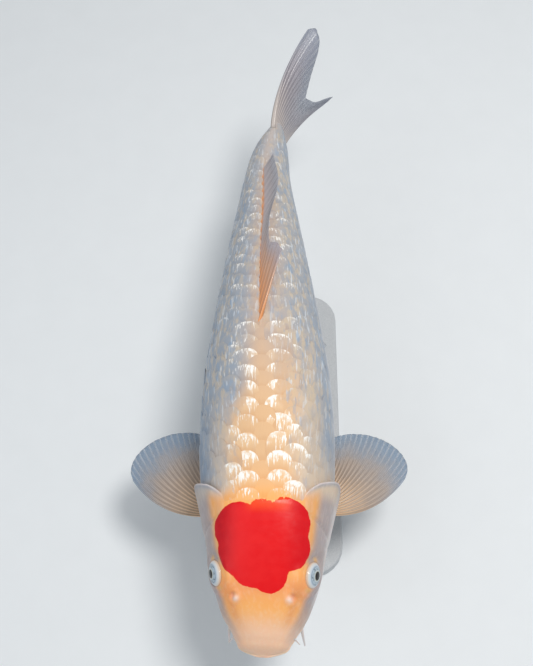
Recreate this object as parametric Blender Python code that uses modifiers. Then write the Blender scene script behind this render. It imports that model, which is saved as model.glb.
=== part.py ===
"""Koi carp, 600 mm long, as a still display model held over a flat base by two rods.

The head points to -Y and the back to +Z. The origin is the centre of the base's underside.
Distances along the fish are measured down its spine from the snout.
"""
import math

import bmesh
import bpy
import numpy as np
from mathutils import Matrix, Vector

# Whole model, metres
TOTAL_LENGTH = 0.600
SNOUT_X = -0.0037
SNOUT_Y = -0.240
AXIS_HEIGHT = 0.160
GAP = 0.0003

# The head turns a little to the fish's right, the tail to its left from a start to an end
# given as shares of the length
HEAD_TURN = math.radians(3.5)
HEAD_TURN_END = 0.140
TAIL_TURN = math.radians(40)
TAIL_TURN_START = 0.66
TAIL_TURN_END = 0.88
TAIL_TURN_POWER = 2.3

# Body sections: distance, half width, top, bottom, level of the widest point, squareness
BODY_SECTIONS = (
    (0.000, 0.0070, -0.0110, -0.0165, -0.0138, 2.0),
    (0.003, 0.0160, -0.0030, -0.0225, -0.0135, 2.1),
    (0.010, 0.0224, 0.0060, -0.0295, -0.0130, 2.2),
    (0.018, 0.0272, 0.0125, -0.0340, -0.0125, 2.4),
    (0.026, 0.0330, 0.0180, -0.0368, -0.0120, 2.6),
    (0.040, 0.0390, 0.0262, -0.0410, -0.0105, 2.9),
    (0.060, 0.0452, 0.0362, -0.0468, -0.0090, 3.1),
    (0.085, 0.0502, 0.0455, -0.0530, -0.0080, 2.9),
    (0.110, 0.0542, 0.0525, -0.0585, -0.0080, 2.5),
    (0.140, 0.0573, 0.0600, -0.0645, -0.0080, 2.25),
    (0.180, 0.0585, 0.0695, -0.0712, -0.0075, 2.15),
    (0.230, 0.0560, 0.0760, -0.0745, -0.0060, 2.1),
    (0.290, 0.0478, 0.0730, -0.0700, -0.0040, 2.1),
    (0.345, 0.0390, 0.0615, -0.0592, -0.0020, 2.1),
    (0.400, 0.0295, 0.0468, -0.0445, 0.0000, 2.1),
    (0.440, 0.0226, 0.0370, -0.0345, 0.0000, 2.1),
    (0.468, 0.0182, 0.0315, -0.0295, 0.0000, 1.9),
    (0.483, 0.0140, 0.0302, -0.0284, 0.0000, 1.6),
    (0.494, 0.0090, 0.0255, -0.0240, 0.0000, 1.5),
    (0.502, 0.0045, 0.0170, -0.0165, 0.0000, 1.5),
)
BODY_SIDES = 36
HEAD_END = 0.118
# Start, end, spacing of the sections and screen colour of each length behind the head
BODY_PIECES = {
    "trunk_front": (HEAD_END, 0.250, 0.0165, (242, 212, 178)),
    "trunk_rear": (0.250, 0.420, 0.0170, (225, 205, 185)),
    "tail_stem": (0.420, 0.502, 0.0100, (195, 184, 176)),
}

# Jaw: the slit between the lips falls from the snout to the mouth's corner
SLIT_FRONT_LEVEL = -0.0185
SLIT_CORNER = 0.024
SLIT_SLOPE = math.radians(17)
JAW_SETBACK = 0.0016
JAW_BLOCK = (0.040, 0.080, 0.040)     # length, width and height

# Eyes
EYE_DISTANCE = 0.058
EYE_SIDE = 0.0385
EYE_LEVEL = 0.0185
EYE_RADIUS = 0.0100
EYE_FLATNESS = 0.54
EYE_SEGMENTS = 14
EYE_RINGS = 9
EYE_YAW = math.radians(13)
EYE_PITCH = math.radians(35)

# Gill covers: angle round the body from the back, front and rear edges from top to bottom
COVER_TOP_ANGLE = math.radians(37)
COVER_BOTTOM_ANGLE = math.radians(152)
COVER_FRONT_EDGE = ((0.0, 0.101), (0.3, 0.090), (0.6, 0.086), (1.0, 0.070))
COVER_REAR_EDGE = ((0.0, 0.118), (0.13, 0.1275), (0.33, 0.1332), (0.48, 0.1315), (0.6, 0.126), (0.75, 0.113),
                   (1.0, 0.090))
COVER_THICKNESS = 0.0024
COVER_STAND_OFF = 0.0030
COVER_EDGE_SHARE = 0.35     # thickness left at the front and rear edges
COVER_SWELL = (0.10, 0.85)  # span of a half wave of thickness from the front edge to the rear

# Feelers: distance, side and level of the root, then length, root radius and direction.
# Each starts inside the head, droops by a share of its length and thins towards its tip.
FEELER_INSET = 0.003
FEELER_DROOP = (0.0, 0.10, -0.25)
FEELER_TAPER = 0.55
FEELER_STEPS = 5
FEELERS = {
    "corner": ((0.0245, 0.0325, -0.0215), 0.020, 0.0013, (0.10, -0.62, -0.78)),
    "lip": ((0.0150, 0.0265, -0.0130), 0.009, 0.0009, (0.45, -0.45, -0.77)),
}

# Fins: the rays thin from the root to this share at the tip, and the web between them is thinner and shorter
FIN_TIP_SHARE = 0.34
WEB_THICKNESS = 0.7
WEB_REACH = 0.975
ROOT_INSET = 0.003
PAIRED_THICKNESS = 0.0024
MEDIAN_THICKNESS = 0.0026
CAUDAL_THICKNESS = 0.0030

PECTORAL_RAYS = 14
PECTORAL_ROOT = (0.1215, 0.046, -0.040)
PECTORAL_START_ANGLES = (math.radians(-8), math.radians(70))
PECTORAL_END_ANGLES = (math.radians(25), math.radians(78))
PECTORAL_LENGTH = ((0.0, 0.084), (0.12, 0.0915), (0.3, 0.092), (0.5, 0.086), (0.75, 0.074), (1.0, 0.060))
PECTORAL_DROOP = 0.20
PECTORAL_CAMBER = 0.004
PECTORAL_ROOT_SLANT = (0.014, 0.004, 0.008)     # back, inwards and down from the first ray to the last
PECTORAL_SIZE = {"left": 0.995, "right": 1.065}

DORSAL_RAYS = 15
DORSAL_BASE = (0.250, 0.428)
DORSAL_ROOT_SIDE = -0.0028
DORSAL_LENGTH = ((0.0, 0.072), (0.1, 0.062), (0.22, 0.044), (0.4, 0.035), (0.8, 0.032), (1.0, 0.022))
DORSAL_RISE = ((0.0, 0.36), (0.25, 0.38), (0.6, 0.45), (1.0, 0.60))
DORSAL_LEAN = ((0.0, 0.32), (0.25, 0.25), (0.45, 0.30), (0.7, 0.60), (1.0, 0.60))

ANAL_RAYS = 6
ANAL_BASE = (0.402, 0.436)
ANAL_LENGTH = ((0.0, 0.056), (0.3, 0.052), (1.0, 0.030))
ANAL_FALL = ((0.0, 0.90), (1.0, 0.45))

PELVIC_RAYS = 8
PELVIC_BASE = (0.252, 0.268)
PELVIC_SIDES = (0.030, 0.018)
PELVIC_LENGTH = ((0.0, 0.060), (0.3, 0.062), (0.7, 0.050), (1.0, 0.034))
PELVIC_SPREAD = ((0.0, 0.48), (1.0, 0.08))
PELVIC_FALL = ((0.0, 0.45), (1.0, 0.28))

CAUDAL_RAYS = 9
CAUDAL_ROOT = 0.485
CAUDAL_ROOT_HEIGHT = {"upper": 0.0290, "lower": 0.0260}
CAUDAL_REACH = {"upper": ((0.0, 0.106), (0.2, 0.102), (0.6, 0.080), (1.0, 0.065)),
                "lower": ((0.0, 0.115), (0.2, 0.109), (0.6, 0.083), (1.0, 0.065))}
CAUDAL_HEIGHT = {"upper": ((0.0, 0.0585), (0.2, 0.0530), (0.6, 0.0290), (1.0, 0.0006)),
                 "lower": ((0.0, 0.0490), (0.2, 0.0450), (0.6, 0.0265), (1.0, 0.0006))}
# Heading of the tail fin in degrees, at its root and over its first 0.1 m, from its lower edge (-1)
# by the fork (0) to its upper edge (1)
CAUDAL_START_TURN = ((-1.0, 13), (0.0, 22), (1.0, 3))
CAUDAL_MEAN_TURN = ((-1.0, 31), (0.0, 32), (0.6, 31), (1.0, 21))

# Display stand
BASE_SIZE = (0.130, 0.300, 0.014)
BASE_CORNER = 0.030
BASE_EDGE = 0.002
ROD_RADIUS = 0.004
ROD_SIDES = 32
ROD_PLACES = {"front": 0.185, "rear": 0.340}

model = None
cutters = None


def start_clean():
    """Empty the file and make the two collections."""
    global model, cutters
    for thing in list(bpy.data.objects):
        bpy.data.objects.remove(thing, do_unlink=True)
    model = bpy.data.collections.new("koi_carp")
    cutters = bpy.data.collections.new("cutters")
    bpy.context.scene.collection.children.link(model)
    bpy.context.scene.collection.children.link(cutters)


def srgb(red, green, blue):
    """Linear colour from 0-255 screen values."""
    levels = (red / 255, green / 255, blue / 255)
    return tuple(v / 12.92 if v <= 0.04045 else ((v + 0.055) / 1.055) ** 2.4 for v in levels) + (1.0,)


def paint(thing, colour, roughness, metallic=0.0):
    """Give an object its own plain material."""
    material = bpy.data.materials.new(thing.name + "_finish")
    material.use_nodes = True
    shader = material.node_tree.nodes["Principled BSDF"]
    shader.inputs["Base Color"].default_value = colour
    shader.inputs["Roughness"].default_value = roughness
    shader.inputs["Metallic"].default_value = metallic
    thing.data.materials.clear()
    thing.data.materials.append(material)


def smooth_curve(stations, place):
    """Value at a place on the smooth curve through (place, value) stations."""
    xs = np.array([station[0] for station in stations])
    ys = np.array([station[1] for station in stations])
    slopes = np.gradient(ys, xs)
    place = np.clip(place, xs[0], xs[-1])
    i = np.clip(np.searchsorted(xs, place) - 1, 0, len(xs) - 2)
    width = xs[i + 1] - xs[i]
    t = (place - xs[i]) / width
    start = (1 + 2 * t) * (1 - t) ** 2 * ys[i] + t * (1 - t) ** 2 * slopes[i] * width
    end = t ** 2 * (3 - 2 * t) * ys[i + 1] + t ** 2 * (t - 1) * slopes[i + 1] * width
    return start + end


def turn(distance):
    """Heading of the spine, from +Y towards +X."""
    head = HEAD_TURN * np.clip(1 - distance / HEAD_TURN_END, 0, 1)
    share = (distance / TOTAL_LENGTH - TAIL_TURN_START) / (TAIL_TURN_END - TAIL_TURN_START)
    return head + TAIL_TURN * np.clip(share, 0, 1) ** TAIL_TURN_POWER


SPINE_DISTANCES = np.linspace(0, TOTAL_LENGTH, 1201)
SPINE_STEP = SPINE_DISTANCES[1]
SPINE_X = SNOUT_X + np.cumsum(np.sin(turn(SPINE_DISTANCES))) * SPINE_STEP
SPINE_Y = SNOUT_Y + np.cumsum(np.cos(turn(SPINE_DISTANCES))) * SPINE_STEP - SPINE_STEP


def place_on_spine(distance, side, level):
    """World point at a distance down the spine, to the left of it and above it."""
    angle = float(turn(distance))
    x = float(np.interp(distance, SPINE_DISTANCES, SPINE_X)) + side * math.cos(angle)
    y = float(np.interp(distance, SPINE_DISTANCES, SPINE_Y)) - side * math.sin(angle)
    return Vector((x, y, AXIS_HEIGHT + level))


def section(distance):
    """Half width, top, bottom, widest level and squareness of the body at a distance."""
    return [float(smooth_curve([(row[0], row[column]) for row in BODY_SECTIONS], distance))
            for column in range(1, 6)]


def bare_body_point(distance, angle):
    """Point on the body, at an angle from the back round to the fish's left."""
    half_width, top, bottom, widest, squareness = section(distance)
    across = math.sin(angle)
    along = math.cos(angle)
    reach = top - widest if along >= 0 else widest - bottom
    side = half_width * math.copysign(abs(across) ** (2 / squareness), across)
    level = widest + reach * math.copysign(abs(along) ** (2 / squareness), along)
    return place_on_spine(distance, side, level)


def body_point(distance, angle, lift=0.0):
    """Point on the body, lifted off it along its normal."""
    point = bare_body_point(distance, angle)
    if lift == 0.0:
        return point
    small = 0.0005
    down_spine = bare_body_point(distance + small, angle) - bare_body_point(distance - small, angle)
    turn_step = 0.02
    round_body = bare_body_point(distance, angle + turn_step) - bare_body_point(distance, angle - turn_step)
    return point + down_spine.cross(round_body).normalized() * -lift


def new_object(name, shape, collection=None):
    """Object from a bmesh, with its faces turned outwards."""
    bmesh.ops.recalc_face_normals(shape, faces=shape.faces)
    mesh = bpy.data.meshes.new(name)
    shape.to_mesh(mesh)
    shape.free()
    thing = bpy.data.objects.new(name, mesh)
    (collection or model).objects.link(thing)
    return thing


def shade(thing, sharp_angle=math.radians(40)):
    """Smooth shading with sharp edges kept."""
    thing.data.shade_smooth()
    thing.data.set_sharp_from_angle(angle=sharp_angle)


def hide_cutter(thing):
    thing.hide_render = True
    thing.display_type = "WIRE"


def cut(thing, cutter, operation="DIFFERENCE"):
    """Cut an object with another, left live as a modifier."""
    modifier = thing.modifiers.new("cut_" + cutter.name, "BOOLEAN")
    modifier.operation = operation
    modifier.solver = "EXACT"
    modifier.object = cutter


def distances_between(start, end, step):
    count = max(2, round((end - start) / step) + 1)
    return list(np.linspace(start, end, count))


def body_loft(name, distances, lift=0.0, collection=None):
    """Closed loft of the body through its sections at the given distances."""
    shape = bmesh.new()
    rings = []
    for distance in distances:
        angles = [math.tau * i / BODY_SIDES for i in range(BODY_SIDES)]
        rings.append([shape.verts.new(body_point(distance, angle, lift)) for angle in angles])
    for near, far in zip(rings, rings[1:]):
        for i in range(BODY_SIDES):
            j = (i + 1) % BODY_SIDES
            shape.faces.new((near[i], near[j], far[j], far[i]))
    shape.faces.new(rings[0])
    shape.faces.new(rings[-1])
    return new_object(name, shape, collection)


def head_distances():
    """Sections crowd towards the snout, where the head rounds off."""
    count = 15
    return [HEAD_END * (i / (count - 1)) ** 1.7 for i in range(count)]


def jaw_block(name, clearance):
    """Block that takes in the lower jaw, up to the slit and back to its corner."""
    bpy.ops.mesh.primitive_cube_add(size=1)
    block = bpy.context.active_object
    block.name = name
    length, width, height = JAW_BLOCK
    tilt = Matrix.Rotation(-SLIT_SLOPE, 4, "X")
    corner = place_on_spine(SLIT_CORNER, 0, SLIT_FRONT_LEVEL - SLIT_CORNER * math.tan(SLIT_SLOPE))
    shift = Matrix.Translation((0, clearance - length / 2, clearance - height / 2))
    size = Matrix.Diagonal((width, length, height, 1))
    block.data.transform(Matrix.Translation(corner) @ tilt @ shift @ size)
    for collection in list(block.users_collection):
        collection.objects.unlink(block)
    cutters.objects.link(block)
    hide_cutter(block)
    return block


def make_head():
    """Head down to the gill slit, with its lower jaw parted off along the mouth."""
    head = body_loft("head", head_distances())
    cut(head, jaw_block("jaw_room", GAP))
    shade(head)
    paint(head, srgb(225, 175, 140), 0.35)
    jaw = body_loft("lower_jaw", [d for d in head_distances() if d < 0.06])
    cut(jaw, jaw_block("jaw_shape", 0.0), "INTERSECT")
    for vertex in jaw.data.vertices:
        vertex.co.y += JAW_SETBACK * max(0.0, 1 - (vertex.co.y - SNOUT_Y) / SLIT_CORNER)
    shade(jaw)
    paint(jaw, srgb(222, 190, 168), 0.35)
    return head


def eye_matrix(sign):
    """Place and lie of an eye; its own +X looks out of the head."""
    centre = place_on_spine(EYE_DISTANCE, sign * EYE_SIDE, EYE_LEVEL)
    face_out = Matrix.Rotation(0 if sign > 0 else math.pi, 4, "Z")
    yaw = Matrix.Rotation(-sign * EYE_YAW, 4, "Z")
    pitch = Matrix.Rotation(-EYE_PITCH, 4, "Y")
    return Matrix.Translation(centre) @ yaw @ face_out @ pitch


def eye_ball(name, sign, radius, collection):
    bpy.ops.mesh.primitive_uv_sphere_add(segments=EYE_SEGMENTS, ring_count=EYE_RINGS, radius=radius)
    ball = bpy.context.active_object
    ball.name = name
    flatten = Matrix.Diagonal((EYE_FLATNESS, 1, 1, 1)) @ Matrix.Rotation(math.pi / 2, 4, "Y")
    ball.data.transform(eye_matrix(sign) @ flatten)
    for old in list(ball.users_collection):
        old.objects.unlink(ball)
    collection.objects.link(ball)
    return ball


def make_eyes(head):
    """An eyeball each side, in a socket that it just clears."""
    for side, sign in (("left", 1), ("right", -1)):
        ball = eye_ball("eye_" + side, sign, EYE_RADIUS, model)
        ball.data.shade_smooth()
        paint(ball, srgb(205, 200, 194), 0.12)
        socket = eye_ball("socket_" + side, sign, EYE_RADIUS + GAP, cutters)
        hide_cutter(socket)
        cut(head, socket)


def thicken(thing, weights, thickness, offset):
    """Give an open surface its thickness, scaled at each vertex by a weight."""
    group = thing.vertex_groups.new(name="thickness")
    for index, weight in enumerate(weights):
        group.add([index], weight, "REPLACE")
    solid = thing.modifiers.new("thickness", "SOLIDIFY")
    solid.thickness = thickness
    solid.offset = offset
    solid.vertex_group = group.name
    solid.thickness_vertex_group = 0.0


def grid_surface(name, points):
    """Open surface over a grid of points."""
    shape = bmesh.new()
    rows = [[shape.verts.new(point) for point in row] for row in points]
    for near, far in zip(rows, rows[1:]):
        for i in range(len(near) - 1):
            shape.faces.new((near[i], near[i + 1], far[i + 1], far[i]))
    return new_object(name, shape)


def make_gill_cover(side, sign):
    """Bony plate over the gills, its rear edge standing off the flank."""
    rows, columns = 10, 7
    points, weights = [], []
    for row in range(rows + 1):
        down = row / rows
        angle = sign * (COVER_TOP_ANGLE + (COVER_BOTTOM_ANGLE - COVER_TOP_ANGLE) * down)
        front = float(smooth_curve(COVER_FRONT_EDGE, down))
        rear = float(smooth_curve(COVER_REAR_EDGE, down))
        line = []
        for column in range(columns + 1):
            back = column / columns
            lift = GAP + COVER_STAND_OFF * back ** 2
            line.append(body_point(front + (rear - front) * back, angle, lift))
            swell = math.sin(math.pi * (COVER_SWELL[0] + (COVER_SWELL[1] - COVER_SWELL[0]) * back))
            weights.append(COVER_EDGE_SHARE + (1 - COVER_EDGE_SHARE) * swell)
        points.append(line)
    cover = grid_surface("gill_cover_" + side, points)
    outward = 1 if faces_out(cover, sign) else -1
    thicken(cover, weights, COVER_THICKNESS, outward)
    shade(cover)
    paint(cover, srgb(186, 168, 160), 0.3)


def faces_out(thing, sign):
    """Whether an open surface's normals point away from the fish's middle."""
    return sum(face.normal.x for face in thing.data.polygons) * sign > 0


def mesh_from_curve(thing):
    """Closed mesh object in place of a tube curve."""
    evaluated = thing.evaluated_get(bpy.context.evaluated_depsgraph_get())
    mesh = bpy.data.meshes.new_from_object(evaluated)
    shape = bmesh.new()
    shape.from_mesh(mesh)
    bmesh.ops.remove_doubles(shape, verts=shape.verts, dist=0.00001)
    name = thing.name
    world = thing.matrix_world.copy()
    bpy.data.objects.remove(thing)
    solid = new_object(name, shape)
    solid.matrix_world = world
    return solid


def tapered_tube(name, points, radii, resolution):
    """Round tube through the points, with a radius at each."""
    curve = bpy.data.curves.new(name, "CURVE")
    curve.dimensions = "3D"
    curve.bevel_depth = 1.0
    curve.bevel_resolution = resolution
    curve.use_fill_caps = True
    spline = curve.splines.new("POLY")
    spline.points.add(len(points) - 1)
    for slot, point, radius in zip(spline.points, points, radii):
        slot.co = (*point, 1)
        slot.radius = radius
    thing = bpy.data.objects.new(name, curve)
    model.objects.link(thing)
    bpy.context.view_layer.update()
    return mesh_from_curve(thing)


def make_feelers(clearance):
    """A pair of feelers at the mouth's corners and a shorter pair on the upper lip."""
    for kind, (root, length, radius, direction) in FEELERS.items():
        for side, sign in (("left", 1), ("right", -1)):
            start = place_on_spine(root[0], sign * (root[1] - FEELER_INSET), root[2])
            way = Vector((sign * direction[0], direction[1], direction[2])).normalized()
            points, radii = [], []
            for i in range(FEELER_STEPS + 1):
                share = i / FEELER_STEPS
                droop = Vector(FEELER_DROOP) * length * share ** 2
                points.append(start + way * (length + FEELER_INSET) * share + droop)
                radii.append(radius * (1 - FEELER_TAPER * share))
            feeler = tapered_tube("feeler_" + kind + "_" + side, points, radii, 2)
            cut(feeler, clearance)
            shade(feeler)
            paint(feeler, srgb(232, 205, 185), 0.4)


def make_fin(name, rays, rows, ray_point, root_thickness, clearance, colour):
    """Fin as a fan of rays with thinner web between them, cut to fit against the body.

    ray_point(u, v) gives the point at share v of the ray at share u of the fan."""
    columns = 2 * (rays - 1)
    points, weights = [], []
    for column in range(columns + 1):
        u = column / columns
        is_ray = column % 2 == 0
        reach = 1.0 if is_ray else WEB_REACH
        line = []
        for row in range(rows + 1):
            v = row / rows
            line.append(ray_point(u, v * reach))
            taper = FIN_TIP_SHARE + (1 - FIN_TIP_SHARE) * (1 - v) ** 2
            weights.append(taper if is_ray else taper * WEB_THICKNESS)
        points.append(line)
    fin = grid_surface(name, points)
    thicken(fin, weights, root_thickness, 0)
    cut(fin, clearance)
    shade(fin)
    paint(fin, colour, 0.3)


def make_pectoral_fins(clearance):
    """Rounded paddles spread flat behind the gills, their rays swept back."""
    for side, sign in (("left", 1), ("right", -1)):
        def ray_point(u, v, side=side, sign=sign):
            start = PECTORAL_START_ANGLES[0] + (PECTORAL_START_ANGLES[1] - PECTORAL_START_ANGLES[0]) * u
            end = PECTORAL_END_ANGLES[0] + (PECTORAL_END_ANGLES[1] - PECTORAL_END_ANGLES[0]) * u
            angle = start + (end - start) * v
            length = PECTORAL_SIZE[side] * float(smooth_curve(PECTORAL_LENGTH, u)) * v
            out = length * math.cos(angle)
            back = length * math.sin(angle)
            root = PECTORAL_ROOT
            slant = PECTORAL_ROOT_SLANT
            camber = PECTORAL_CAMBER * math.sin(math.pi * v) * math.sin(math.pi * u)
            level = root[2] - slant[2] * u - PECTORAL_DROOP * out + camber
            return place_on_spine(root[0] + slant[0] * u + back, sign * (root[1] - slant[1] * u + out), level)
        make_fin("pectoral_fin_" + side, PECTORAL_RAYS, 5, ray_point, PAIRED_THICKNESS, clearance,
                 srgb(172, 150, 136))


def make_dorsal_fin(clearance):
    """Long fin folded back along the ridge and leaning to the fish's left."""
    def ray_point(u, v):
        start = DORSAL_BASE[0] + (DORSAL_BASE[1] - DORSAL_BASE[0]) * u
        length = float(smooth_curve(DORSAL_LENGTH, u)) * v
        rise = float(smooth_curve(DORSAL_RISE, u))
        lean = float(smooth_curve(DORSAL_LEAN, u))
        way = Vector((lean, 1.0, rise)).normalized() * length
        root_top = section(start)[1] - ROOT_INSET
        back_fall = section(start + way.y)[1] - section(start)[1]
        return place_on_spine(start + way.y, DORSAL_ROOT_SIDE + way.x, root_top + way.z + back_fall)
    make_fin("dorsal_fin", DORSAL_RAYS, 4, ray_point, MEDIAN_THICKNESS, clearance, srgb(182, 148, 126))


def make_anal_fin(clearance):
    def ray_point(u, v):
        start = ANAL_BASE[0] + (ANAL_BASE[1] - ANAL_BASE[0]) * u
        length = float(smooth_curve(ANAL_LENGTH, u)) * v
        fall = float(smooth_curve(ANAL_FALL, u))
        way = Vector((0.0, 1.0, -fall)).normalized() * length
        return place_on_spine(start + way.y, 0.0, section(start)[2] + ROOT_INSET + way.z)
    make_fin("anal_fin", ANAL_RAYS, 4, ray_point, MEDIAN_THICKNESS, clearance, srgb(182, 168, 160))


def make_pelvic_fins(clearance):
    for side, sign in (("left", 1), ("right", -1)):
        def ray_point(u, v, sign=sign):
            start = PELVIC_BASE[0] + (PELVIC_BASE[1] - PELVIC_BASE[0]) * u
            aside = PELVIC_SIDES[0] + (PELVIC_SIDES[1] - PELVIC_SIDES[0]) * u
            length = float(smooth_curve(PELVIC_LENGTH, u)) * v
            spread = float(smooth_curve(PELVIC_SPREAD, u))
            fall = float(smooth_curve(PELVIC_FALL, u))
            way = Vector((spread, 1.0, -fall)).normalized() * length
            half_width, _, bottom, widest, squareness = section(start)
            share = (aside / half_width) ** squareness
            level = widest - (widest - bottom) * (1 - share) ** (1 / squareness) + ROOT_INSET
            return place_on_spine(start + way.y, sign * (aside + way.x), level + way.z)
        make_fin("pelvic_fin_" + side, PELVIC_RAYS, 4, ray_point, PAIRED_THICKNESS, clearance,
                 srgb(182, 168, 160))


def tail_point(reach, level, edge):
    """Point of the tail fin's curved sheet; its upper edge trails behind the turn."""
    root = place_on_spine(CAUDAL_ROOT, 0, level)
    start = float(smooth_curve(CAUDAL_START_TURN, edge))
    mean = float(smooth_curve(CAUDAL_MEAN_TURN, edge))
    angle = math.radians(start + (mean - start) * (reach / 0.1) ** 0.8)
    return root + Vector((math.sin(angle), math.cos(angle), 0)) * reach


def make_tail_fin(clearance):
    """Forked tail in two lobes, each a fan of rays."""
    for lobe, sign in (("upper", 1), ("lower", -1)):
        def ray_point(u, v, lobe=lobe, sign=sign):
            reach = float(smooth_curve(CAUDAL_REACH[lobe], u))
            height = float(smooth_curve(CAUDAL_HEIGHT[lobe], u))
            root = CAUDAL_ROOT_HEIGHT[lobe] * (1 - u) + CAUDAL_HEIGHT[lobe][-1][1] * u
            level = sign * (root + (height - root) * v ** 0.8)
            return tail_point(reach * v, level, sign * (1 - u))
        make_fin("caudal_fin_" + lobe, CAUDAL_RAYS, 5, ray_point, CAUDAL_THICKNESS, clearance,
                 srgb(128, 140, 155))


def make_body():
    """Trunk in two lengths and the stem of the tail, each with flat ends."""
    for name, (start, end, step, colour) in BODY_PIECES.items():
        piece = body_loft(name, distances_between(start + GAP, end, step))
        shade(piece)
        paint(piece, srgb(*colour), 0.25, 0.1)


def make_stand(clearance):
    """Flat base with two rods up to the belly."""
    bpy.ops.mesh.primitive_cube_add(size=1)
    base = bpy.context.active_object
    base.name = "stand_base"
    base.data.transform(Matrix.Translation((0, 0, BASE_SIZE[2] / 2)) @ Matrix.Diagonal((*BASE_SIZE, 1)))
    for collection in list(base.users_collection):
        collection.objects.unlink(base)
    model.objects.link(base)
    round_corners(base)
    shade(base, math.radians(30))
    paint(base, srgb(236, 237, 238), 0.45)
    for place, distance in ROD_PLACES.items():
        foot = place_on_spine(distance, 0, 0)
        bottom = BASE_SIZE[2] + GAP
        length = AXIS_HEIGHT - 0.03 - bottom
        bpy.ops.mesh.primitive_cylinder_add(vertices=ROD_SIDES, radius=ROD_RADIUS, depth=length)
        rod = bpy.context.active_object
        rod.name = "stand_rod_" + place
        rod.data.transform(Matrix.Translation((foot.x, foot.y, bottom + length / 2)))
        for collection in list(rod.users_collection):
            collection.objects.unlink(rod)
        model.objects.link(rod)
        cut(rod, clearance)
        shade(rod)
        paint(rod, srgb(190, 192, 195), 0.25, 1.0)


def round_corners(base):
    """Round the base's four upright edges, then soften its upper rim."""
    shape = bmesh.new()
    shape.from_mesh(base.data)
    upright = [e for e in shape.edges if abs(e.verts[0].co.z - e.verts[1].co.z) > BASE_SIZE[2] / 2]
    bmesh.ops.bevel(shape, geom=upright, offset=BASE_CORNER, segments=6, affect="EDGES", profile=0.5)
    rim = [e for e in shape.edges if min(v.co.z for v in e.verts) > BASE_SIZE[2] * 0.9]
    bmesh.ops.bevel(shape, geom=rim, offset=BASE_EDGE, segments=2, affect="EDGES", profile=0.5)
    shape.to_mesh(base.data)
    shape.free()


def make_clearance():
    """The whole body a little enlarged: what meets the body is cut with it."""
    steps = head_distances()
    for start, end, step, _ in BODY_PIECES.values():
        steps += distances_between(start + GAP, end, step)
    steps[-1] += GAP
    whole = body_loft("body_clearance", steps, GAP, cutters)
    hide_cutter(whole)
    return whole


def build():
    start_clean()
    clearance = make_clearance()
    head = make_head()
    make_eyes(head)
    for side, sign in (("left", 1), ("right", -1)):
        make_gill_cover(side, sign)
    make_feelers(clearance)
    make_body()
    make_pectoral_fins(clearance)
    make_dorsal_fin(clearance)
    make_pelvic_fins(clearance)
    make_anal_fin(clearance)
    make_tail_fin(clearance)
    make_stand(clearance)


build()
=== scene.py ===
import math

import bmesh
import bpy
import numpy as np
from mathutils import Matrix, Vector


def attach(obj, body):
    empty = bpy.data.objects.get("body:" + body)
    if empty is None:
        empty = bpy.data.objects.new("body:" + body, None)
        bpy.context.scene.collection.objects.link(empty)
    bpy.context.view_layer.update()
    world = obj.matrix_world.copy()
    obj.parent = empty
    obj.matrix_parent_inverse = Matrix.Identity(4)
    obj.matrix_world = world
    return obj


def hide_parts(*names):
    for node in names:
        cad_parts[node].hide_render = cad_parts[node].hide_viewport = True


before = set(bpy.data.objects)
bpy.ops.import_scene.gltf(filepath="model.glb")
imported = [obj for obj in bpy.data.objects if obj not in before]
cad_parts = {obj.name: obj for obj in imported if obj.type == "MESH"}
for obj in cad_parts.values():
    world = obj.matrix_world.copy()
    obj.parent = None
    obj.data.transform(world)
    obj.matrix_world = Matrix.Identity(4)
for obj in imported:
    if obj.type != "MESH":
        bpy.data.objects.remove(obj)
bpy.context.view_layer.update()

# A koi held over its display base, life size, in metres. The head points to -Y and the back to +Z.
# "along" is the distance down the spine from the snout. "share" goes round the body: 0 on the back,
# 0.5 at mid flank, 1 on the belly, and it is negative on the fish's right.

fish = {
    "length": 0.600,
    "snoutX": -0.0037,
    "snoutY": -0.240,
    "axisHeight": 0.160,
    "headTurn": math.radians(3.5),
    "headTurnEnd": 0.140,
    "tailTurn": math.radians(40),
    "tailTurnFrom": 0.66,
    "tailTurnTo": 0.88,
    "tailTurnPower": 2.3,
    "bodyEnd": 0.502,
    # along, half width, top, bottom, widest level, squareness
    "sections": (
        (0.000, 0.0070, -0.0110, -0.0165, -0.0138, 2.0),
        (0.003, 0.0160, -0.0030, -0.0225, -0.0135, 2.1),
        (0.010, 0.0224, 0.0060, -0.0295, -0.0130, 2.2),
        (0.018, 0.0272, 0.0125, -0.0340, -0.0125, 2.4),
        (0.026, 0.0330, 0.0180, -0.0368, -0.0120, 2.6),
        (0.040, 0.0390, 0.0262, -0.0410, -0.0105, 2.9),
        (0.060, 0.0452, 0.0362, -0.0468, -0.0090, 3.1),
        (0.085, 0.0502, 0.0455, -0.0530, -0.0080, 2.9),
        (0.110, 0.0542, 0.0525, -0.0585, -0.0080, 2.5),
        (0.140, 0.0573, 0.0600, -0.0645, -0.0080, 2.25),
        (0.180, 0.0585, 0.0695, -0.0712, -0.0075, 2.15),
        (0.230, 0.0560, 0.0760, -0.0745, -0.0060, 2.1),
        (0.290, 0.0478, 0.0730, -0.0700, -0.0040, 2.1),
        (0.345, 0.0390, 0.0615, -0.0592, -0.0020, 2.1),
        (0.400, 0.0295, 0.0468, -0.0445, 0.0000, 2.1),
        (0.440, 0.0226, 0.0370, -0.0345, 0.0000, 2.1),
        (0.468, 0.0182, 0.0315, -0.0295, 0.0000, 1.9),
        (0.483, 0.0140, 0.0302, -0.0284, 0.0000, 1.6),
        (0.494, 0.0090, 0.0255, -0.0240, 0.0000, 1.5),
        (0.502, 0.0045, 0.0170, -0.0165, 0.0000, 1.5),
    ),
}
sides = (("left", 1), ("right", -1))


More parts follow.
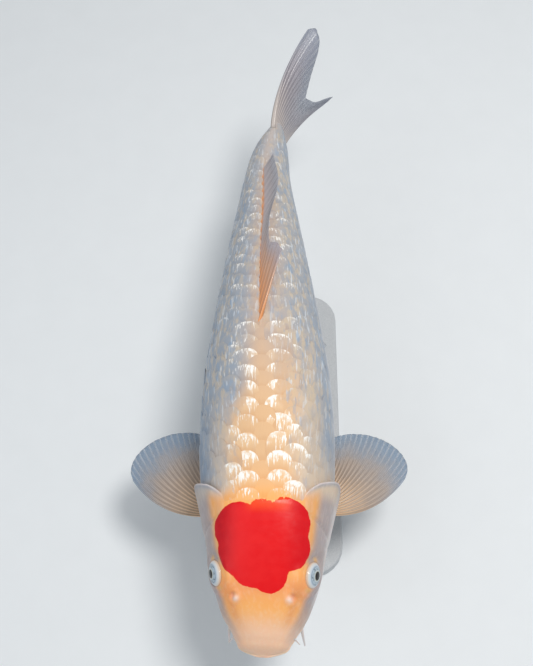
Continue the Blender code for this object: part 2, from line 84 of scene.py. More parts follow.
def curveThrough(stations, place):
    table = np.array(stations, float)
    xs, ys = table[:, 0], table[:, 1]
    slopes = np.gradient(ys, xs)
    place = np.clip(place, xs[0], xs[-1])
    i = np.clip(np.searchsorted(xs, place) - 1, 0, len(xs) - 2)
    width = xs[i + 1] - xs[i]
    t = (place - xs[i]) / width
    start = (1 + 2 * t) * (1 - t) ** 2 * ys[i] + t * (1 - t) ** 2 * slopes[i] * width
    end = t ** 2 * (3 - 2 * t) * ys[i + 1] + t ** 2 * (t - 1) * slopes[i + 1] * width
    return start + end


def ease(value, span=1):  # from 0 to 1 while value goes from 0 to span
    value = np.clip(value / span, 0, 1)
    return value * value * (3 - 2 * value)


def hump(distance, width):
    return np.exp(-(distance / width) ** 2)


def between(ends, share):
    return ends[0] + (ends[1] - ends[0]) * share


def heading(along):
    head = fish["headTurn"] * np.clip(1 - along / fish["headTurnEnd"], 0, 1)
    span = fish["tailTurnTo"] - fish["tailTurnFrom"]
    tail = np.clip((along / fish["length"] - fish["tailTurnFrom"]) / span, 0, 1)
    return head + fish["tailTurn"] * tail ** fish["tailTurnPower"]


spineAt = np.linspace(0, fish["length"], 1201)
spineX = fish["snoutX"] + np.cumsum(np.sin(heading(spineAt))) * spineAt[1]
spineY = fish["snoutY"] + np.cumsum(np.cos(heading(spineAt))) * spineAt[1] - spineAt[1]
sectionColumns = [curveThrough([(row[0], row[c]) for row in fish["sections"]], spineAt) for c in range(1, 6)]


def onSpine(along, side, level):
    turned = heading(along)
    x = np.interp(along, spineAt, spineX) + side * np.cos(turned)
    y = np.interp(along, spineAt, spineY) - side * np.sin(turned)
    return np.stack(np.broadcast_arrays(x, y, fish["axisHeight"] + level), -1)


def sectionAt(along):
    return [np.interp(along, spineAt, column) for column in sectionColumns]


def sideAndLevel(along, angle):
    halfWidth, top, bottom, widest, squareness = sectionAt(along)
    across, up = np.sin(angle), np.cos(angle)
    reach = np.where(up >= 0, top - widest, widest - bottom)
    side = halfWidth * np.sign(across) * np.abs(across) ** (2 / squareness)
    return side, widest + reach * np.sign(up) * np.abs(up) ** (2 / squareness)


# Equal steps of share are equal lengths round the body
girthAt = np.linspace(0, fish["bodyEnd"], 400)
girthAngles = np.linspace(0, math.pi, 721)
shareSteps = np.linspace(0, 1, 361)


def measureGirth():
    angleTable, halfGirths = [], []
    for along in girthAt:
        side, level = sideAndLevel(along, girthAngles)
        walked = np.concatenate([[0], np.cumsum(np.hypot(np.diff(side), np.diff(level)))])
        angleTable.append(np.interp(shareSteps, walked / walked[-1], girthAngles))
        halfGirths.append(walked[-1])
    return np.array(angleTable), np.array(halfGirths)


angleTable, halfGirths = measureGirth()


def halfGirth(along):
    return np.interp(along, girthAt, halfGirths)


def angleFor(along, share):
    along, share = np.broadcast_arrays(along, share)
    folded = np.abs(share)
    past = folded > 1
    folded = np.where(past, 2 - folded, folded)
    i = np.clip(along / girthAt[1], 0, len(girthAt) - 1.001)
    j = np.clip(folded / shareSteps[1], 0, len(shareSteps) - 1.001)
    i0, j0 = i.astype(int), j.astype(int)
    fi, fj = i - i0, j - j0
    near = angleTable[i0, j0] * (1 - fj) + angleTable[i0, j0 + 1] * fj
    far = angleTable[i0 + 1, j0] * (1 - fj) + angleTable[i0 + 1, j0 + 1] * fj
    angle = near * (1 - fi) + far * fi
    return np.sign(share) * np.where(past, math.tau - angle, angle)


def bodyPoint(along, share):
    return onSpine(along, *sideAndLevel(along, angleFor(along, share)))


def bodyNormal(along, share):
    step, turnStep = 0.0006, 0.006
    angle = angleFor(along, share)
    ahead, behind = along + step, np.maximum(along - step, 0)
    lengthwise = onSpine(ahead, *sideAndLevel(ahead, angle)) - onSpine(behind, *sideAndLevel(behind, angle))
    roundBody = bodyPoint(along, share + turnStep) - bodyPoint(along, share - turnStep)
    normal = np.cross(roundBody, lengthwise)
    return normal / np.linalg.norm(normal, axis=-1, keepdims=True)


def writeLayers(mesh, values):  # one number, or a colour of three, for each point
    for key, data in values.items():
        data = np.asarray(data, float)
        kind, field = "FLOAT", "value"
        if data.ndim == 2:
            kind, field = "FLOAT_COLOR", "color"
            data = np.column_stack([data, np.ones(len(data))])
        mesh.attributes.new(key, kind, "POINT").data.foreach_set(field, data.ravel())


def writeVectors(mesh, key, vectors):
    layer = mesh.attributes.new(key, "FLOAT_VECTOR", "POINT")
    layer.data.foreach_set("vector", np.array(vectors, float).ravel())


def readLayer(mesh, name, field="value"):
    width = 3 if field == "vector" else 1
    values = np.zeros(len(mesh.vertices) * width, np.float32)
    mesh.attributes[name].data.foreach_get(field, values)
    return values.reshape(-1, width) if width > 1 else values


def pushMesh(name, points, faces, values=None):
    mesh = bpy.data.meshes.new(name)
    mesh.from_pydata(np.asarray(points).reshape(-1, 3).tolist(), [], faces)
    writeLayers(mesh, values or {})
    mesh.shade_smooth()
    thing = bpy.data.objects.new(name, mesh)
    bpy.context.scene.collection.objects.link(thing)
    return thing


def quadsOf(index):  # faces of a grid of point numbers
    return np.stack([index[:-1, :-1], index[1:, :-1], index[1:, 1:], index[:-1, 1:]], -1).reshape(-1, 4)


def roundFaces(count, rings):  # a point at each end and rings of count points between
    faces = []
    last = 1 + (rings - 1) * count
    for i in range(count):
        j = (i + 1) % count
        faces.append((0, 1 + i, 1 + j))
        for near in range(1, last, count):
            far = near + count
            faces.append((near + i, far + i, far + j, near + j))
        faces.append((last + i, last + count, last + j))
    return faces


def bakeMap(thing, spots):
    layer = thing.data.uv_layers.new(name="OFBake")
    corners = np.zeros(len(thing.data.loops), np.int32)
    thing.data.loops.foreach_get("vertex_index", corners)
    layer.data.foreach_set("uv", np.asarray(spots, np.float32)[corners].ravel())


def turnOut(thing):
    shape = bmesh.new()
    shape.from_mesh(thing.data)
    bmesh.ops.recalc_face_normals(shape, faces=shape.faces)
    shape.to_mesh(thing.data)
    shape.free()


def dress(thing, material):
    thing.data.materials.clear()
    thing.data.materials.append(material)


def finishPiece(thing, material, slotName, *nodes):
    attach(thing, "root")
    if nodes:
        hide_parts(*nodes)
    dress(thing, material)


# Colours and markings, the same on skin and scales

def screen(red, green, blue):
    levels = np.array((red, green, blue)) / 255
    return np.where(levels <= 0.04045, levels / 12.92, ((levels + 0.055) / 1.055) ** 2.4)


tones = {name: screen(*colour) for name, colour in {
    "snout": (250, 206, 176),
    "forehead": (255, 184, 108),
    "browBand": (250, 158, 108),
    "cheek": (166, 158, 162),
    "cheekBand": (240, 174, 98),
    "jawBand": (232, 156, 98),
    "gillRim": (152, 156, 170),
    "gillEdge": (226, 216, 214),
    "nape": (248, 190, 132),
    "back": (232, 190, 146),
    "rearBack": (190, 173, 163),
    "shoulder": (216, 200, 184),
    # the fish's left faces the key lamp: the left flank tones are painted lit copies and the right ones
    # painted shaded copies; their blue-grey is partly the flanks' own silvery colour, partly painted
    # reflection of blue surroundings
    "leftFlankLit": (214, 194, 172),
    "leftRearLit": (172, 175, 181),
    "leftEdgeLit": (152, 164, 180),
    "rightFlankShaded": (192, 182, 174),
    "rightRearShaded": (160, 170, 183),
    "rightEdgeShaded": (138, 156, 178),
    "side": (204, 208, 213),
    "feeler": (222, 214, 212),
    "jowl": (212, 204, 204),
    "belly": (228, 226, 224),
    "stem": (184, 182, 184),
    "lip": (243, 222, 198),
    "nostril": (226, 140, 92),
    "nostrilFlap": (252, 222, 210),
    "eyeCorner": (226, 178, 104),
    "slit": (120, 62, 48),
}.items()}

crown = {
    # discs of side, along and radius that run together
    "discs": (
        (-0.0010, 0.0800, 0.0275),
        (0.0195, 0.0752, 0.0174),
        (0.0192, 0.0935, 0.0178),
        (-0.0208, 0.0900, 0.0186),
        (-0.0170, 0.0730, 0.0190),
        (-0.0090, 0.0610, 0.0155),
        (0.0048, 0.0562, 0.0146),
        (-0.0010, 0.0958, 0.0140),
    ),
    "softness": 0.0011,
    "lowest": 0.40,  # share past which there is no mark
    "outside": 0.05,  # a distance well clear of the mark
    "middle": -0.002,
    "shadeFrom": 0.014,
    "leftShade": 0.45,
    "rearFrom": 0.098,
    "rearMiddle": 0.004,
    "rearWidth": 0.022,
}


def crownMarks(along, share, side):
    soft, total = crown["softness"], 0
    for middle, place, radius in crown["discs"]:
        total = total + np.exp(-(np.hypot(side - middle, along - place) - radius) / soft)
    distance = -soft * np.log(np.maximum(total, 1e-30))
    # painted shade: darker red towards the crown's sides, less on the left, which faces the key lamp
    shade = ease(np.abs(side - crown["middle"]) - crown["shadeFrom"], 0.02)
    rear = ease(along - crown["rearFrom"], 0.010)
    return {
        "crown": distance + crown["outside"] * ease(np.abs(share) - crown["lowest"], 0.05),
        "crownSideShade": shade * np.where(side > 0, crown["leftShade"], 1.0),
        "crownRear": rear * ease(crown["rearWidth"] - np.abs(side - crown["rearMiddle"]), 0.012),
    }


def over(colour, *layers):
    for name, weight in layers:
        weight = np.clip(weight, 0, 1)[..., None]
        colour = colour * (1 - weight) + tones[name] * weight
    return colour


def bodyTone(along, share):
    down, every = np.abs(share), along.shape + (3,)
    left = ease(share + 0.05, 0.1)
    right = 1 - left
    # the right's lower flank takes the painted shaded tones, the left's the painted lit ones
    rightRearShaded, leftRearLit = ease(along - 0.152, 0.055), ease(along - 0.195, 0.085)
    rightLow = ease(down - 0.125 + 0.112 * rightRearShaded, 0.14 - 0.04 * rightRearShaded) * 0.94 * right
    leftLow = ease(down - 0.150 + 0.125 * leftRearLit, 0.12) * 0.94 * left
    colour = over(
        np.broadcast_to(tones["back"], every),
        ("nape", ease(0.150 - along, 0.04) * ease(0.20 - down, 0.12)),
        ("rearBack", ease(along - 0.165, 0.105) * (0.70 + 0.30 * ease(down, 0.05))),
        ("shoulder", ease(down - 0.09, 0.12) * ease(0.30 - along, 0.10)),
        ("rightFlankShaded", rightLow * (1 - rightRearShaded)),
        ("rightRearShaded", rightLow * rightRearShaded),
        ("rightEdgeShaded", ease(down - 0.20, 0.12) * right * ease(along - 0.120, 0.02)),
        ("leftFlankLit", leftLow * (1 - leftRearLit)),
        ("leftRearLit", leftLow * leftRearLit),
        ("leftEdgeLit", ease(down - 0.22, 0.12) * left * ease(along - 0.125, 0.04)),
        ("side", ease(down - 0.37, 0.14)),
        ("stem", ease(along - 0.40, 0.06) * ease(0.30 - down, 0.2) * 0.7),
        ("belly", ease(down - 0.54, 0.20)))
    temple = 0.028 - ease(along - 0.055, 0.02) * 0.078
    band = hump(down - 0.238 - 0.3 * (along - 0.095), 0.030) * ease(along - 0.062, 0.02)
    lower = hump(down - 0.222, 0.036) * ease(along - 0.014, 0.016) * ease(0.060 - along, 0.015)
    face = over(
        np.broadcast_to(tones["forehead"], every),
        ("browBand", hump(along - 0.046, 0.009) * 0.55),
        ("snout", ease(0.034 - along, 0.022) * 0.9),
        ("cheek", ease(down - 0.215 - temple, 0.10) * ease(along + 0.002, 0.045) * 0.95),
        ("cheekBand", band * 0.85),
        ("jawBand", lower * 0.6),
        ("jowl", ease(down - 0.38, 0.10) * ease(along - 0.030, 0.02)),
        ("belly", ease(down - 0.56, 0.16)))
    head = ease(0.124 - along, 0.014)[..., None]
    return colour * (1 - head) + face * head


class Nodes:
    def __init__(self, tree):
        self.tree = tree

    def add(self, kind, inputs=None, **settings):
        node = self.tree.nodes.new(kind)
        for key, value in settings.items():
            setattr(node, key, value)
        for socket, value in (inputs or {}).items():
            self.put(node.inputs[socket], value)
        return node

    def put(self, socket, value):
        if isinstance(value, bpy.types.NodeSocket):
            self.tree.links.new(value, socket)
        else:
            socket.default_value = value

    def math(self, operation, *values):
        return self.add("ShaderNodeMath", dict(enumerate(values)), operation=operation).outputs[0]

    def times(self, first, second):
        return self.math("MULTIPLY", first, second)

    def plus(self, first, second):
        return self.math("ADD", first, second)


class Finish(Nodes):
    def __init__(self, name):
        self.material = bpy.data.materials.new(name)
        self.material.use_nodes = True
        super().__init__(self.material.node_tree)
        self.shader = self.tree.nodes["Principled BSDF"]

    def layer(self, name, output="Fac"):
        return self.add("ShaderNodeAttribute", attribute_name=name).outputs[output]

    def swing(self, value, width):  # a noise of 0 to 1 made to swing round 0
        return self.math("MULTIPLY_ADD", value, width, -width / 2)

    def spread(self, value, low, high, newLow=0.0, newHigh=1.0, kind="SMOOTHSTEP"):
        given = dict(enumerate((value, low, high, newLow, newHigh)))
        return self.add("ShaderNodeMapRange", given, interpolation_type=kind).outputs[0]

    def mix(self, share, first, second, blendType="MIX"):
        given = {"Factor": share, 6: first, 7: second}
        return self.add("ShaderNodeMix", given, data_type="RGBA", blend_type=blendType).outputs[2]

    def shade(self, share, colour, tint):  # multiply a colour by a tint
        return self.mix(share, colour, self.mix(1.0, colour, tint, "MULTIPLY"))

    def place(self, stretch=(1, 1, 1)):
        here = self.add("ShaderNodeTexCoord").outputs["Object"]
        return self.add("ShaderNodeMapping", {"Vector": here, "Scale": stretch}).outputs["Vector"]

    def noise(self, vector, scale, detail=3.0, roughness=0.5):
        given = {"Vector": vector, "Scale": scale, "Detail": detail, "Roughness": roughness}
        return self.add("ShaderNodeTexNoise", given).outputs["Fac"]

    def bump(self, height, strength, distance, below=None):
        given = {"Strength": strength, "Distance": distance, "Height": height}
        if below is not None:
            given["Normal"] = below
        return self.add("ShaderNodeBump", given).outputs["Normal"]

    def set(self, **inputs):
        for key, value in inputs.items():
            self.put(self.shader.inputs[key.replace("_", " ")], value)
        return self.material


def paint(red, green, blue):
    return (*screen(red, green, blue).tolist(), 1.0)


def crownPaint(n, base, place):
    wobble, wide = n.noise(place, 260, 2.0), n.noise(place, 60, 2.0)
    edge = n.plus(n.layer("crown"), n.swing(wobble, 0.0014))
    edge = n.plus(edge, n.swing(wide, 0.0012))
    teeth = n.swing(n.noise(place, 330, 1.0), 0.0064)
    edge = n.plus(edge, n.times(teeth, n.layer("crownRear")))
    inside = n.spread(edge, 0.0003, -0.0003)
    # painted shade darkens the red towards the crown's sides
    red = n.mix(n.layer("crownSideShade"), paint(234, 6, 16), paint(192, 4, 26))
    red = n.mix(n.layer("crownRear"), red, paint(255, 74, 26))
    red = n.mix(n.spread(n.noise(place, 120), 0.35, 0.75, 0.0, 0.14), red, paint(255, 50, 46))
    return n.mix(inside, base, red)


def makeSkinMaterial():
    n = Finish("koi skin")
    place = n.place()
    tone = n.layer("tone", "Color")
    mottle = n.spread(n.noise(place, 55, 4.0, 0.6), 0.35, 0.7)
    tone = n.shade(n.times(mottle, 0.22), tone, paint(255, 236, 214))
    veins = n.spread(n.noise(n.place((1, 0.25, 1)), 420), 0.45, 0.7)
    tone = n.mix(n.times(veins, 0.10), tone, paint(255, 240, 226))
    base = crownPaint(n, tone, place)
    pores, ripples = n.noise(place, 900, 2.0, 0.6), n.noise(place, 160)
    relief = n.bump(ripples, 0.16, 0.0014, n.bump(pores, 0.10, 0.0006))
    n.set(Subsurface_Radius=(1.0, 0.45, 0.25))
    return n.set(Base_Color=base, Normal=relief, Roughness=n.spread(ripples, 0.3, 0.7, 0.30, 0.44),
                 Subsurface_Weight=0.12, Subsurface_Scale=0.003, Coat_Weight=0.12, Coat_Roughness=0.25,
                 Specular_IOR_Level=0.28)


eye = {
    "along": 0.058,
    "side": 0.0382,
    "level": 0.0185,
    "radius": 0.0100,
    "flatness": 0.50,
    "length": 1.07,
    "yaw": math.radians(13),
    "pitch": math.radians(28),
    "cornea": 0.10,
    "corneaWidth": 0.50,
    "segments": 72,
    "rings": 40,
    # distance from the pupil's middle, colour
    "iris": (
        (0.00, (6, 7, 9)),
        (0.185, (8, 9, 11)),
        (0.205, (160, 160, 142)),
        (0.235, (196, 206, 208)),
        (0.32, (162, 180, 194)),
        (0.415, (180, 196, 206)),
        (0.450, (142, 160, 176)),
        (0.495, (168, 184, 200)),
        (0.57, (204, 212, 218)),
        (0.70, (214, 212, 208)),
        (0.84, (216, 190, 166)),
    ),
}


def eyePlace(sign):
    centre = Vector(onSpine(eye["along"], sign * eye["side"], eye["level"]))
    faceOut = Matrix.Rotation(0 if sign > 0 else math.pi, 4, "Z")
    yaw = Matrix.Rotation(-sign * eye["yaw"], 4, "Z")
    pitch = Matrix.Rotation(-eye["pitch"], 4, "Y")
    return Matrix.Translation(centre) @ yaw @ faceOut @ pitch


def makeEyeMaterial():
    n = Finish("koi eye")
    gaze = n.layer("gaze")
    place = n.place()
    wavy = n.plus(gaze, n.swing(n.noise(place, 900), 0.05))
    ramp = n.add("ShaderNodeValToRGB", {"Fac": wavy})
    elements = ramp.color_ramp.elements
    while len(elements) < len(eye["iris"]):
        elements.new(0.5)
    for element, (spot, colour) in zip(elements, eye["iris"]):
        element.position = spot
        element.color = paint(*colour)
    smudge = n.times(n.spread(n.noise(place, 420), 0.48, 0.62), n.spread(gaze, 0.25, 0.32))
    smudge = n.times(smudge, n.spread(gaze, 0.50, 0.43))
    colour = n.mix(n.times(smudge, 0.55), ramp.outputs["Color"], paint(58, 66, 74))
    return n.set(Base_Color=colour, Roughness=0.30, Coat_Weight=0.55, Coat_Roughness=0.02,
                 Specular_IOR_Level=0.12)


def makeEye(side, sign, material):
    lie = eyePlace(sign)
    size = Vector((eye["flatness"], eye["length"], 1)) * eye["radius"]
    rings, count = eye["rings"], eye["segments"]
    points, gaze = [], []
    for ring in range(rings + 1):
        polar = math.pi * ring / rings
        bulge = 1 + eye["cornea"] * math.exp(-(polar / eye["corneaWidth"]) ** 2)
        for segment in range(count if 0 < ring < rings else 1):
            turned = math.tau * segment / count
            out = math.sin(polar)
            way = Vector((math.cos(polar), out * math.cos(turned), out * math.sin(turned)))
            points.append(tuple(lie @ (way * size * bulge)))
            gaze.append(2 * ring / rings)
    ball = pushMesh("eye_" + side + "_ball", points, roundFaces(count, rings - 1), {"gaze": gaze})
    turnOut(ball)
    finishPiece(ball, material, "eye", "eye_" + side)


skin = {
    "columns": 228,
    "crowding": 0.035,
    "ringGap": ((0.000, 0.00016), (0.003, 0.00030), (0.010, 0.00056), (0.020, 0.00066), (0.140, 0.00071),
                (0.165, 0.0013), (0.200, 0.0030), (0.450, 0.0030), (0.470, 0.0016), (0.502, 0.0012)),
    "coatDepth": 0.00085,
    "coatFrom": 0.1065,
    "capRings": 7,
    "capBulge": 0.0012,
    "capMap": 0.03,  # the part of the bake map kept for the snout's end
}
mouth = {
    "frontLevel": -0.0185,
    "slope": math.radians(17),
    "corner": 0.0235,
    "slitDepth": 0.0021,
    "slitWidth": 0.0008,
    "upperLip": 0.0011,
    "lowerLip": 0.0009,
    "creaseUp": 0.0076,
    "creaseDepth": 0.0008,
    "chinDepth": 0.0007,
    "cornerDepth": 0.0010,
    "jawSetback": 0.0016,
}
gillCover = {
    "topAngle": math.radians(37),
    "bottomAngle": math.radians(152),
    # share of the way down the cover, along
    "front": ((0.0, 0.101), (0.3, 0.090), (0.6, 0.086), (1.0, 0.070)),
    "rear": ((-0.3, 0.104), (-0.05, 0.1110), (-0.01, 0.1175), (0.06, 0.1245), (0.13, 0.1275), (0.23, 0.1308),
             (0.33, 0.1332), (0.40, 0.1334), (0.48, 0.1315), (0.60, 0.126), (0.75, 0.113), (1.0, 0.090),
             (1.25, 0.080)),
    "lift": 0.0052,
    "edgeThickness": 0.0013,
    "undercut": 0.0060,
    "middleAlong": 0.125,
    "warpFrom": 0.066,
    "warpTo": 0.180,
    "membrane": 0.0052,
    # along from the edge as a share of the undercut or in metres, height as a share of the lift, and
    # the drop below it as a share of the edge's thickness
    "fold": ((0, 0.0000, 1.0, 0), (0, 0.0004, 1.0, 0.25), (0, 0.0004, 1.0, 0.75), (0, -0.0002, 1.0, 1),
             (-0.30, 0, 0.80, 1), (-0.65, 0, 0.45, 1), (-1, 0, 0.10, 0.5), (-1, 0, 0, 0), (-0.80, 0, 0, 0),
             (-0.50, 0, 0, 0), (-0.20, 0, 0, 0), (0.10, 0, 0, 0)),
    "foldSeen": 6,  # steps of the fold that show
}
nostril = {"along": 0.0388, "side": 0.0222, "pit": 0.0017, "pitRadius": 0.0019, "flap": 0.0016}
eyeLids = {"middle": 0.0012, "tilt": 0.0010, "spread": 0.0110, "roll": 0.0004, "gap": 0.0040,
           "crease": 0.0004, "deepest": -0.022}


def coverDown(share):
    angle = np.abs(angleFor(gillCover["middleAlong"], share))
    return (angle - gillCover["topAngle"]) / (gillCover["bottomAngle"] - gillCover["topAngle"])


def coverFront(share):
    return curveThrough(gillCover["front"], np.clip(coverDown(share), 0, 1))


def coverRear(share):
    return curveThrough(gillCover["rear"], coverDown(share))


def coverAmount(share):
    down = coverDown(share)
    return ease(down + 0.06, 0.14) * ease(1.12 - down, 0.30)


def skinAlongs():
    places = [0.0]
    while places[-1] < fish["bodyEnd"] - 0.0006:
        places.append(places[-1] + float(curveThrough(skin["ringGap"], places[-1])))
    places[-1] = fish["bodyEnd"]
    return np.array(places)


def eyeRelief(points, normals):
    lift, corner = 0, 0
    for sign in (1, -1):
        place = np.array(eyePlace(sign))
        inverse = np.array(eyePlace(sign).inverted())
        out, length, height = np.moveaxis(points @ inverse[:3, :3].T + inverse[:3, 3], -1, 0)
        facing = np.maximum(normals @ place[:3, 0], 0.4)
        across = np.hypot(length / eye["length"], height)
        # the lids meet the ball further out below than above
        lid = eyeLids["middle"] - eyeLids["tilt"] * (height / np.maximum(across, 1e-6))
        rim = eye["radius"] * np.sqrt(1 - np.clip(lid / (eye["radius"] * eye["flatness"]), 0, 0.9) ** 2)
        near = out > eyeLids["deepest"]
        collar = np.clip(ease(1 - (across - rim) / eyeLids["spread"]) * (lid - out) / facing, -0.003, 0.006)
        sunk = ease(rim - 0.0003 - across, 0.0014)
        raised = collar * (1 - sunk) + (collar - eyeLids["gap"]) * sunk
        raised = raised + eyeLids["roll"] * hump(across - rim - 0.0009, 0.0009)
        raised = raised - eyeLids["crease"] * hump(across - rim - 0.0036, 0.0012)
        lift = lift + np.where(near & (across < rim + eyeLids["spread"]), raised, 0)
        tips = hump(np.abs(length) - rim - 0.0020, 0.0022) * hump(height - 0.0020, 0.0034)
        corner = corner + np.where(near, tips, 0)
    return lift, corner


def mouthRelief(along, level):
    above = (level - mouth["frontLevel"] + along * math.tan(mouth["slope"])) * math.cos(mouth["slope"])
    behind = along - mouth["corner"]
    lips = ease(mouth["corner"] + 0.010 - along, 0.012)
    slit = hump(above, mouth["slitWidth"]) * ease(mouth["corner"] + 0.0020 - along, 0.0030)
    creaseUp = mouth["creaseUp"] - 0.0018 * ease(1 - along / 0.012)
    crease = hump(above - creaseUp, 0.0009) * ease(mouth["corner"] + 0.006 - along, 0.008)
    cornerFold = hump(behind - 0.0022 - 0.25 * np.abs(above), 0.0010) * hump(above + 0.001, 0.006)
    lift = -mouth["slitDepth"] * slit
    lift = lift + mouth["upperLip"] * hump(above - 0.0034, 0.0024) * lips
    lift = lift + mouth["lowerLip"] * hump(above + 0.0030, 0.0022) * lips
    lift = lift - mouth["creaseDepth"] * crease
    lift = lift - mouth["chinDepth"] * hump(above + 0.0072, 0.0011) * lips
    lift = lift - mouth["cornerDepth"] * cornerFold
    lip = hump(above - 0.0034, 0.0030) * lips + hump(above + 0.0030, 0.0026) * lips
    return lift, slit, np.clip(lip, 0, 1), above


def nostrilRelief(along, side, level):
    outwards = np.abs(side) - nostril["side"]
    lengthwise = along - nostril["along"]
    upper = ease(level + 0.004, 0.006)
    pit = hump(np.hypot((lengthwise - 0.0014) * 0.8, (outwards - 0.0020) * 1.2), nostril["pitRadius"])
    flap = hump(np.hypot(lengthwise + 0.0006, (outwards + 0.0012) * 0.85), 0.0023)
    rim = hump(np.hypot(lengthwise, outwards * 1.1) - 0.0046, 0.0013)
    lift = -nostril["pit"] * pit + nostril["flap"] * flap + 0.0005 * rim
    return lift * upper, pit * upper, flap * upper


def cheekRelief(along, share):
    down = np.abs(share)
    back = along - coverFront(share)
    lift = -0.0009 * hump(back, 0.0016) * ease(down - 0.20, 0.06) * ease(0.88 - down, 0.10)
    lift = lift - 0.0005 * hump(back + 0.0085, 0.0016) * ease(down - 0.36, 0.06) * ease(0.80 - down, 0.10)
    underCheek = hump(down - 0.44 - 1.1 * (along - 0.067), 0.016)
    lift = lift - 0.0005 * underCheek * ease(along - 0.048, 0.012) * ease(0.094 - along, 0.014)
    folds = np.sin((down - 0.70) / 0.30 * math.pi * 7) * ease(down - 0.72, 0.06) * ease(0.97 - down, 0.05)
    lift = lift + 0.00045 * folds * ease(along - 0.045, 0.02) * ease(0.105 - along, 0.02)
    throat = hump(down - 1.0, 0.05) * ease(along - 0.040, 0.02) * ease(0.100 - along, 0.03)
    return lift - 0.0016 * throat


def skinGrid():
    base, middle = skinAlongs(), gillCover["middleAlong"]
    warpFrom, warpTo = gillCover["warpFrom"], gillCover["warpTo"]
    shares = np.linspace(-1, 1, skin["columns"], endpoint=False)
    shares = shares + skin["crowding"] * np.sin(math.tau * shares)  # a little closer on the flanks
    front, rear, amount = coverFront(shares), coverRear(shares), coverAmount(shares)
    rings, lifts, coats = [], [], []

    def push(along, lift, coat):
        rings.append(along)
        lifts.append(lift)
        coats.append((1 - amount) * ease(along - skin["coatFrom"], 0.007) + coat)

    for along in base[base < middle]:
        warped = along + (rear - middle) * np.clip((along - warpFrom) / (middle - warpFrom), 0, 1)
        back = np.clip((warped - front) / (rear - front), 0, 1)
        push(warped, amount * gillCover["lift"] * (0.12 * ease(back * 6) + 0.88 * back ** 1.6), 0)
    for step, (under, back, height, drop) in enumerate(gillCover["fold"]):
        back = under * gillCover["undercut"] + back
        lift = height * gillCover["lift"] - drop * gillCover["edgeThickness"]
        push(rear + (1 - amount) * 0.0005 * step + amount * back, amount * lift,
             amount * (step >= gillCover["foldSeen"]))
    for along in base[base > middle + 0.0065]:
        warped = along + (rear - middle) * np.clip((warpTo - along) / (warpTo - middle), 0, 1)
        push(warped, np.zeros_like(shares), amount)
    return np.array(rings), shares, np.array(lifts), np.array(coats), int((base < middle).sum())


def makeSkin(material):
    alongs, shares, lifts, coats, foldStart = skinGrid()
    rows, columns = alongs.shape
    share = np.broadcast_to(shares, alongs.shape)
    side, level = sideAndLevel(alongs, angleFor(alongs, share))
    points, normals = bodyPoint(alongs, share), bodyNormal(alongs, share)
    eyeLift, eyeCorner = eyeRelief(points, normals)
    mouthLift, slit, lip, above = mouthRelief(alongs, level)
    nostrilLift, pit, flap = nostrilRelief(alongs, side, level)
    row = np.arange(rows)[:, None]
    beforeFold, cover = row < foldStart, row < foldStart + gillCover["foldSeen"]
    cheek = np.where(beforeFold, cheekRelief(alongs, share), 0)
    lift = lifts - coats * skin["coatDepth"] + eyeLift + mouthLift + nostrilLift + cheek
    points = points + normals * lift[..., None]
    jaw = np.clip(-above / 0.001, 0, 1) * np.clip(1 - alongs / mouth["corner"], 0, 1)
    points[..., 1] += mouth["jawSetback"] * jaw

    edge = np.where(beforeFold, coverRear(shares) - alongs, 0)
    shown = ease(0.80 - np.abs(share), 0.1)
    rim = np.where(cover, coverAmount(shares) * ease(1 - edge / gillCover["membrane"]), 0) * shown
    edgeLine = np.where(cover, coverAmount(shares) * hump(edge - 0.0002, 0.0008), 0)
    # the mouth's slit is painted dark: painted shade in the groove between the lips
    tone = over(bodyTone(alongs, share), ("lip", lip * 0.75), ("slit", slit), ("gillRim", rim * 0.9),
                ("gillEdge", edgeLine * 0.8 * shown), ("eyeCorner", eyeCorner * 0.8),
                ("nostril", pit * 0.9), ("nostrilFlap", flap))

    # rings that close the snout, then a point at each end
    vertices = list(points.reshape(-1, 3))
    index = np.arange(rows * columns).reshape(rows, columns)
    index = np.concatenate([index, index[:, :1]], axis=1)
    faces = quadsOf(index).tolist()
    centre, inner = points[0].mean(0), index[0]
    for ring in range(skin["capRings"] - 1, 0, -1):
        reach = ring / skin["capRings"]
        rounded = centre + (points[0] - centre) * reach
        rounded[:, 1] -= skin["capBulge"] * (1 - reach ** 2)
        outer, inner = inner, len(vertices) + np.append(np.arange(columns), 0)
        vertices.extend(rounded)
        faces += quadsOf(np.stack([outer, inner])).tolist()
    vertices.append(centre - np.array((0, skin["capBulge"], 0)))
    vertices.append(points[-1].mean(0))
    tip, end = len(vertices) - 2, len(vertices) - 1
    faces += [[int(a), tip, int(b)] for a, b in zip(inner[:-1], inner[1:])]
    faces += [[int(b), end, int(a)] for a, b in zip(index[-1, :-1], index[-1, 1:])]
    extra = len(vertices) - rows * columns

    values = {"tone": np.concatenate([tone.reshape(-1, 3), np.tile(tones["snout"], (extra, 1))])}
    for key, data in crownMarks(alongs, share, side).items():
        outside = crown["outside"] if key == "crown" else 0
        values[key] = np.concatenate([data.ravel(), np.full(extra, outside)])
    body = pushMesh("skin", vertices, faces, values)
    turnOut(body)
    low, caps = skin["capMap"], np.arange(skin["capRings"] - 1, 0, -1)
    u = np.append(np.tile(np.arange(columns) / columns, rows + len(caps)), (0.5, 0.5))
    v = np.concatenate([low + (1 - low) * np.arange(rows) / (rows - 1), low * caps / skin["capRings"]])
    bakeMap(body, np.column_stack([u, np.append(np.repeat(v, columns), (0.01, 0.01))]))
    closeSeam(body)
    finishPiece(body, material, "skin", "head", "lower_jaw", "gill_cover_left", "gill_cover_right",
                "trunk_front", "trunk_rear", "tail_stem")


